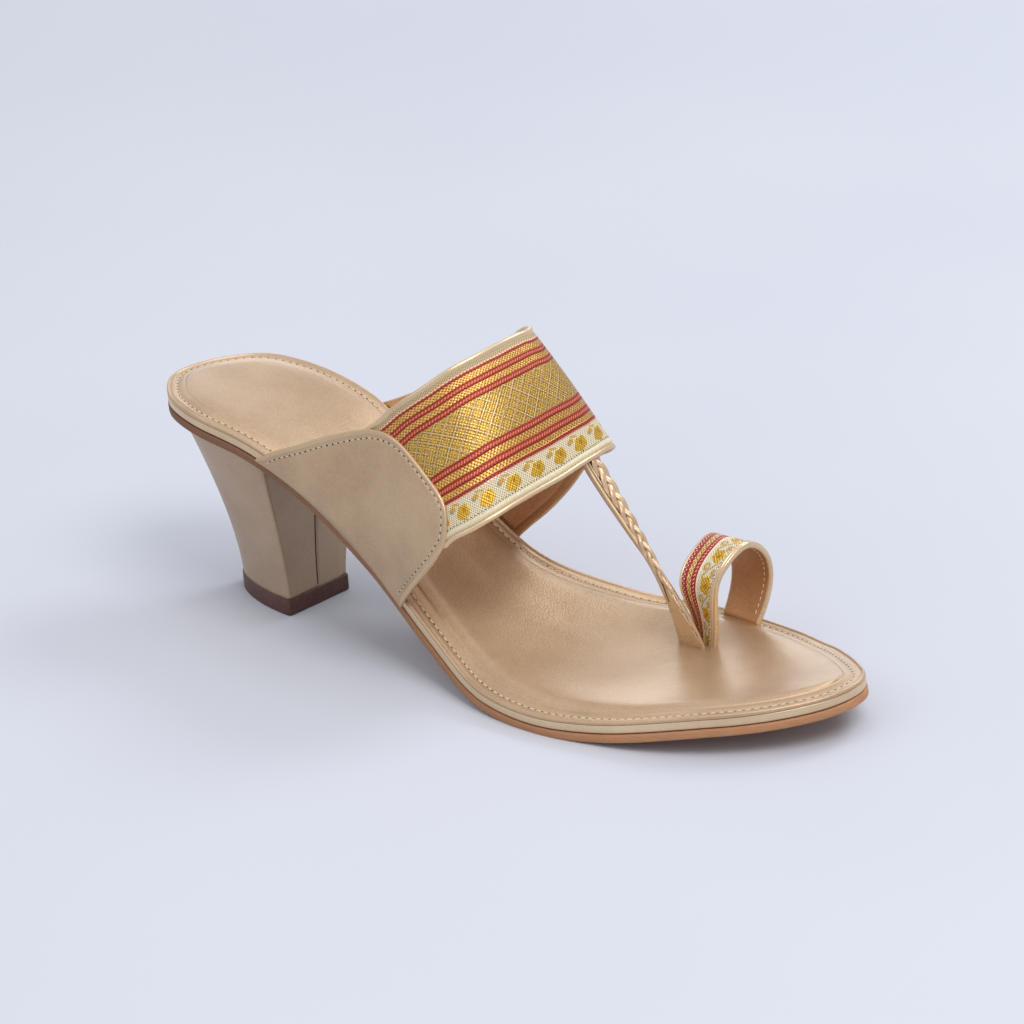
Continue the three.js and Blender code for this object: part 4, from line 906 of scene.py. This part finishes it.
def panel(name, table, medial):
    ch = Chart(medial); T = np.array(table, float); flat = np.stack([T[:, 0], ch.flat(T[:, 0], T[:, 1])], -1)
    NK = 280; E = spline2(flat, 1200); E = resample(E[E[:, 1] >= PANEL_BASE], NK)
    tn = tangents(E); inward = np.stack([tn[:, 1], -tn[:, 0]], -1)
    if (inward[NK // 2] @ (np.array([90, 10]) - E[NK // 2])) < 0:
        inward = -inward
    run = path_length(E); room = np.where(inward[:, 1] < -0.02, (E[:, 1] - PANEL_BASE) / np.maximum(-inward[:, 1], 0.02), 99.0)      # how far in before the foot line
    end = np.minimum(run, run[-1] - run); room = np.minimum(room, 1.1 * end); plain = smooth((end - 2.0) / 4.0); part = np.clip((room - 0.02) / 3.0, 0, 1)

    def surf(Q, out):
        x, Y = Q[:, 0], np.maximum(Q[:, 1], PANEL_BASE); return on_arch(x, ch.deg(x, Y), out)
    H = PANEL_OUT
    prof = [(0.4, PANEL_IN), (0.13, PANEL_IN + 0.05), (0.0, 0.02), (-0.04, 0.24), (-0.02, 0.48), (0.08, 0.68), (0.26, 0.83), (0.5, 0.9), (0.76, 0.89), (0.96, 0.83), (1.2, 0.80), (1.5, 0.81), (1.74, 0.76), (1.95, 0.7), (2.16, 0.76), (2.45, H), (3.0, H + 0.02)]

    def inner_point(d, o):
        de = d * part; fade = smooth(part * 1.6)
        o2 = H + (o - H) * plain if d > 0.9 and o > 0.3 else o
        Q = surf(E + inward * de[:, None], np.where(o > 0.3, o2 * fade + H * (1 - fade), o))
        for _ in range(6):
            Q[1:-1] = Q[1:-1] * 0.5 + (Q[:-2] + Q[2:]) * 0.25
        return Q
    cols = [inner_point(d, o) for d, o in prof]; cm = [1] * 9 + [0] * 8
    inner = E + inward * (3.0 * part)[:, None]
    for _ in range(6):
        inner[1:-1] = inner[1:-1] * 0.5 + (inner[:-2] + inner[2:]) * 0.25
    i = np.arange(NK); ia = int(np.max(i[(room < 3.0) & (i < NK // 3)], initial=0)); xa = inner[ia, 0]
    t = np.clip((i - ia) / (NK - 1 - ia), 0, 1)
    base_x = np.where(i <= ia, inner[:, 0], xa + (E[-1, 0] - xa) * (t - 1.6 * t ** 4 * (1 - t)))
    Bq = np.stack([base_x, 0 * base_x + PANEL_BASE], -1)
    for k in range(1, 19):
        f = k / 18; Q = inner + (Bq - inner) * f; cols.append(surf(Q, H + 0.02)); cm.append(0)
    # the foot turns in under the sole's edge
    foot = cols[-1].copy(); foot[:, 2] -= 0.22; foot[:, 1] += -0.25 if medial else 0.25; cols.append(foot); cm.append(0)
    for k in range(18, 0, -1):
        f = k / 18; Q = inner + (Bq - inner) * f; cols.append(surf(Q, PANEL_IN)); cm.append(2)
    for d in (3.0, 2.0, 1.0):
        cols.append(inner_point(d, PANEL_IN)); cm.append(2)
    P = np.stack(cols, 1)
    ob = loft(name, P, [leather_panel, rolled_edge_highlight_leather, leather_lining], col_mats=cm, slot="strap", merge=4e-6)
    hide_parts("upper")
    Q = E + inward * 1.95; ok = (Q[:, 1] > PANEL_BASE + 1.3) & (room > 2.6); Q = Q[ok]
    deg = ch.deg(Q[:, 0], Q[:, 1]); Pn = on_arch(Q[:, 0], deg, 0.71); Nn = arch_normal(Q[:, 0], np.radians(deg))
    stitches(name + "_stitch", Pn, Nn, 2.2, thread_white, length=0.64, radius=0.15, lift=0.02, hole=needle_hole_shade, hole_r=0.25, seed=21 + medial, sink=0.1, slot="strap")


panel("lateral_panel", LATERAL_PANEL, False)
panel("medial_panel", MEDIAL_PANEL, True)

# ------------------------------------------------------------------ thong
_z = THONG[::-1, 0]
th_lx, th_ly, th_rx, th_ry = (curve(_z, THONG[::-1, k]) for k in (1, 2, 3, 4))


def thong_frame(z):
    L, R = np.stack([th_lx(z), th_ly(z), z], -1), np.stack([th_rx(z), th_ry(z), z], -1); mid = (L + R) / 2
    t = tangents(mid) if z[0] > z[-1] else -tangents(mid)
    n = unit(np.cross(t, R - L)); return L, R, mid, t, n


def thong():
    n = 120; z = np.linspace(67, 5.2, n); L, R, mid, t, nn = thong_frame(z)
    W = np.linalg.norm(R - L, axis=-1); A = unit(R - L)
    # core: two-layer strap, its left edge a rolled bead and its lower part the plain triangle
    face = smooth((31 - z) / 8)                       # 0 up the strap, 1 on the triangle
    cols = []
    for f, o in ((0.0, -0.3), (0.0, -1.0), (0.1, -1.5), (0.5, -1.6), (0.9, -1.5), (1.0, -1.0), (1.0, -0.35), (0.93, -0.05), (0.7, 0.0), (0.4, 0.0), (0.16, 0.0), (0.05, -0.05)):
        lift = np.where(f > 0.3, 0, 0.0)
        cols.append(L + (R - L) * f + nn * (o - (1 - face) * (0.25 if 0.1 < f < 0.95 and o > -0.2 else 0.0))[:, None])
    ob = loft("thong_strap", np.stack(cols, 1), leather_bind, slot="strap"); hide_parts("upper")
    # rolled bead down the left edge, with a dark fold line beside it as painted shadow in the fold
    k = z > 17; s = smooth((z[k] - 17) / 8)
    c = (L + A * 0.55 + nn * 0.05)[k]; th = np.linspace(0, TAU, 12, endpoint=False)
    S = np.stack([0.62 * np.cos(th)[None] * (0.45 + 0.55 * s[:, None]), (0.52 * np.sin(th)[None]) * (0.3 + 0.7 * s[:, None]) - 0.1], -1)
    tube("thong_bead", c, nn[k], S, rolled_edge_highlight_leather, slot="strap")
    k = z > 20
    tube("thong_fold_line", (L + A * 1.3 + nn * -0.12)[k], nn[k], ellipse(0.2, 0.2, 8), seam_shadow_mat, slot="strap")
    s = smooth((z[k] - 20) / 10); th = np.linspace(0, TAU, 10, endpoint=False)
    S = np.stack([0.46 * np.cos(th)[None] * s[:, None], 0.36 * np.sin(th)[None] * s[:, None] - 0.12], -1)
    tube("thong_bead_inner", (L + A * 1.88 + nn * 0.02)[k], nn[k], S + 1e-4, rolled_edge_highlight_leather, slot="strap")
    # dark line between the beads and the braid: painted shadow at the braid's edge
    tube("thong_braid_line", (L + A * 2.45 + nn * -0.12)[z > 26], nn[z > 26], ellipse(0.2, 0.2, 8), seam_shadow_mat, slot="strap")
    # braid on the right, three flat strands
    zz = np.linspace(66, 8.5, 520); L, R, mid, t, nn = thong_frame(zz); A = unit(R - L); W = np.linalg.norm(R - L, axis=-1)
    run = path_length(mid); half = np.interp(zz, [8, 14, 20, 27, 34.5, 42, 50, 58, 67], [0.35, 0.6, 0.75, 0.9, 1.25, 1.6, 1.9, 2.1, 2.2])
    centre = R - A * (half * 0.92)[:, None] + A * 0.35 + nn * 0.25
    pitch = 16.2; ph = TAU * run / pitch
    for j in range(3):
        q = ph + TAU * j / 3
        c = centre + A * (np.sin(q) * half * 0.72)[:, None] + nn * (np.sin(2 * q + 0.3) * 0.38 + 0.15)[:, None]
        w = np.clip(half * 0.52, 0.28, 1.05)
        th = np.linspace(0, TAU, 12, endpoint=False)
        S = np.stack([w[:, None] * np.cos(th)[None], 0.42 * np.minimum(1, w / 0.6)[:, None] * np.sin(th)[None]], -1)
        tube(f"thong_braid_{j + 1}", c, nn, S, leather_braid, slot="strap")


thong()

# ------------------------------------------------------------------ toe loop
def loop_edge(row, a):
    c, s = np.cos(a), np.maximum(np.sin(a), 0); h = s ** (2 / row["power"]); m = (1 - np.abs(c) ** (2 / row["power"]) * np.sign(c)) / 2
    y = row["nearY"] + (row["farY"] - row["nearY"]) * m + np.where(c > 0, -row["nearSwell"] * 9.48 * h ** 3 * (1 - h), row["farSwell"] * 3.6 * h * (1 - h))
    x = row["nearX"] + (row["farX"] - row["nearX"]) * m + row["lean"] * h
    top = float(seat(row["nearX"], row["nearY"])) + row["height"]
    return np.stack([x, y, seat(x, y) * (1 - h) + top * h], -1)


def toe_loop():
    aa = np.linspace(0, math.pi, 1601); c = (loop_edge(LOOP[0], aa) + loop_edge(LOOP[1], aa)) / 2; L = path_length(c); n = 170
    a = np.interp(np.linspace(0, L[-1], n), L, aa); e0, e1 = loop_edge(LOOP[0], a), loop_edge(LOOP[1], a); mid = (e0 + e1) / 2
    t = tangents(mid); nn = unit(np.cross(e1 - e0, t))
    if nn[n // 2, 2] < 0:
        nn = -nn
    W = np.linalg.norm(e1 - e0, axis=-1); along = path_length(mid); D = 1.7
    cols, us, cm = [], [], []

    def put(d, out, mat, toe=False):
        f = 1 - d / W if toe else d / W
        cols.append(e0 + (e1 - e0) * f[:, None] + nn * out); us.append((17.0 - d if toe else d) + 0 * W); cm.append(mat)
    for d, o in ((0.7, -D), (0.2, -1.45), (0.0, -0.9), (0.03, -0.35), (0.15, 0.02), (0.36, 0.12), (0.58, 0.1), (0.72, 0.0)):
        put(d, o, 1)
    for k in range(25):
        f = k / 24; d = 0.8 + (W - 0.8 - 2.05) * f
        cols.append(e0 + (e1 - e0) * (d / W)[:, None] + nn * 0.0); us.append(0.8 + (17 - 2.85) * f + 0 * W); cm.append(0)
    for d, o, mt in ((1.95, -0.08, 1), (1.83, 0.05, 1), (1.62, 0.17, 1), (1.35, 0.18, 1), (1.14, 0.06, 1), (1.02, -0.1, 1), (0.92, 0.03, 1), (0.7, 0.19, 1), (0.4, 0.17, 1), (0.13, -0.08, 1), (0.0, -0.6, 1), (0.03, -1.1, 1), (0.2, -1.5, 1), (0.7, -D, 2)):
        put(d, o, mt, toe=True)
    for k in range(1, 8):
        f = 1 - k / 8; d = 0.7 + (W - 1.4) * f
        cols.append(e0 + (e1 - e0) * (d / W)[:, None] - nn * D); us.append(d); cm.append(2)
    P = np.stack(cols, 1); uv = np.stack([np.broadcast_to(along[:, None], P.shape[:2]), np.stack(us, 1)], -1)
    # tabs down into the slots
    tab0, tab1 = P[:1].copy(), P[-1:].copy(); tab0[..., 2] -= 1.4; tab1[..., 2] -= 1.4
    P = np.concatenate([tab0, P, tab1]); uv = np.concatenate([uv[:1], uv, uv[-1:]])
    ob = loft("toe_loop_ribbon", P, [loop_ribbon, leather_bind, leather_lining], col_mats=cm, uv=uv, slot="loop_ribbon"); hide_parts("toe_loop")
    line = lambda d, out: e0 + (e1 - e0) * (1 - d / W)[:, None] + nn * out
    stitches("loop_edge_stitch", line(2.3, 0.0)[4:-4], nn[4:-4], 1.3, thread_brown, length=0.66, radius=0.13, lift=0.03, seed=31, sink=0.08, slot="loop_ribbon")
    stitches("loop_lining_stitch", line(2.1, -D - 0.01)[4:-4], -nn[4:-4], 2.0, thread_pale, length=0.72, radius=0.17, lift=0.03, seed=32, sink=0.1, slot="loop_ribbon")


toe_loop()

# ------------------------------------------------------------------ floor and light
def floor():
    me = bpy.data.meshes.new("floor"); s = 6.0
    me.from_pydata([(-s, -s, 0), (s, -s, 0), (s, s, 0), (-s, s, 0)], [], [(0, 1, 2, 3)])
    ob = bpy.data.objects.new("floor", me); bpy.context.scene.collection.objects.link(ob)
    m = Mat("floor_paper", Roughness=0.95); n = m.noise(3.0, 2)
    me.materials.append(m.done(m.mix(n.step(0.3, 0.7), lin(196, 198, 206), lin(200, 202, 209))))


floor()


def area(name, loc, target, size, power, color=(1, 1, 1)):
    l = bpy.data.lights.new(name, "AREA"); l.shape = "RECTANGLE"; l.size, l.size_y = size; l.energy = power; l.color = color
    ob = bpy.data.objects.new(name, l); bpy.context.scene.collection.objects.link(ob); ob.location = loc
    d = Vector(target) - Vector(loc); ob.rotation_euler = d.to_track_quat("-Z", "Y").to_euler()


world = bpy.data.worlds.new("studio"); bpy.context.scene.world = world; world.use_nodes = True
bg = world.node_tree.nodes["Background"]; bg.inputs[0].default_value = (0.82, 0.85, 0.93, 1); bg.inputs[1].default_value = 0.75
area("key", (0.95, -0.3, 1.50), (0.05, 0, 0.03), (0.85, 0.85), 12.6, (1.0, 0.99, 0.975))
area("top", (0.0, 0.25, 1.9), (0.05, 0, 0.03), (1.4, 1.4), 5.6, (1.0, 1.0, 1.0))
area("back", (0.30, 1.12, 1.12), (0, 0, 0.04), (0.6, 0.55), 6.6, (0.90, 0.95, 1.0))
area("back_low", (-1.0, 1.3, 0.36), (0, 0, 0.04), (0.9, 0.24), 1.8, (0.95, 0.975, 1.0))
area("fill", (-0.6, -1.3, 1.3), (0, 0, 0.04), (1.3, 1.3), 3.8, (1.0, 0.99, 0.98))
bpy.context.scene.view_settings.view_transform = "Standard"
bpy.context.scene.view_settings.look = "None"
bpy.context.scene.view_settings.exposure = 0.0
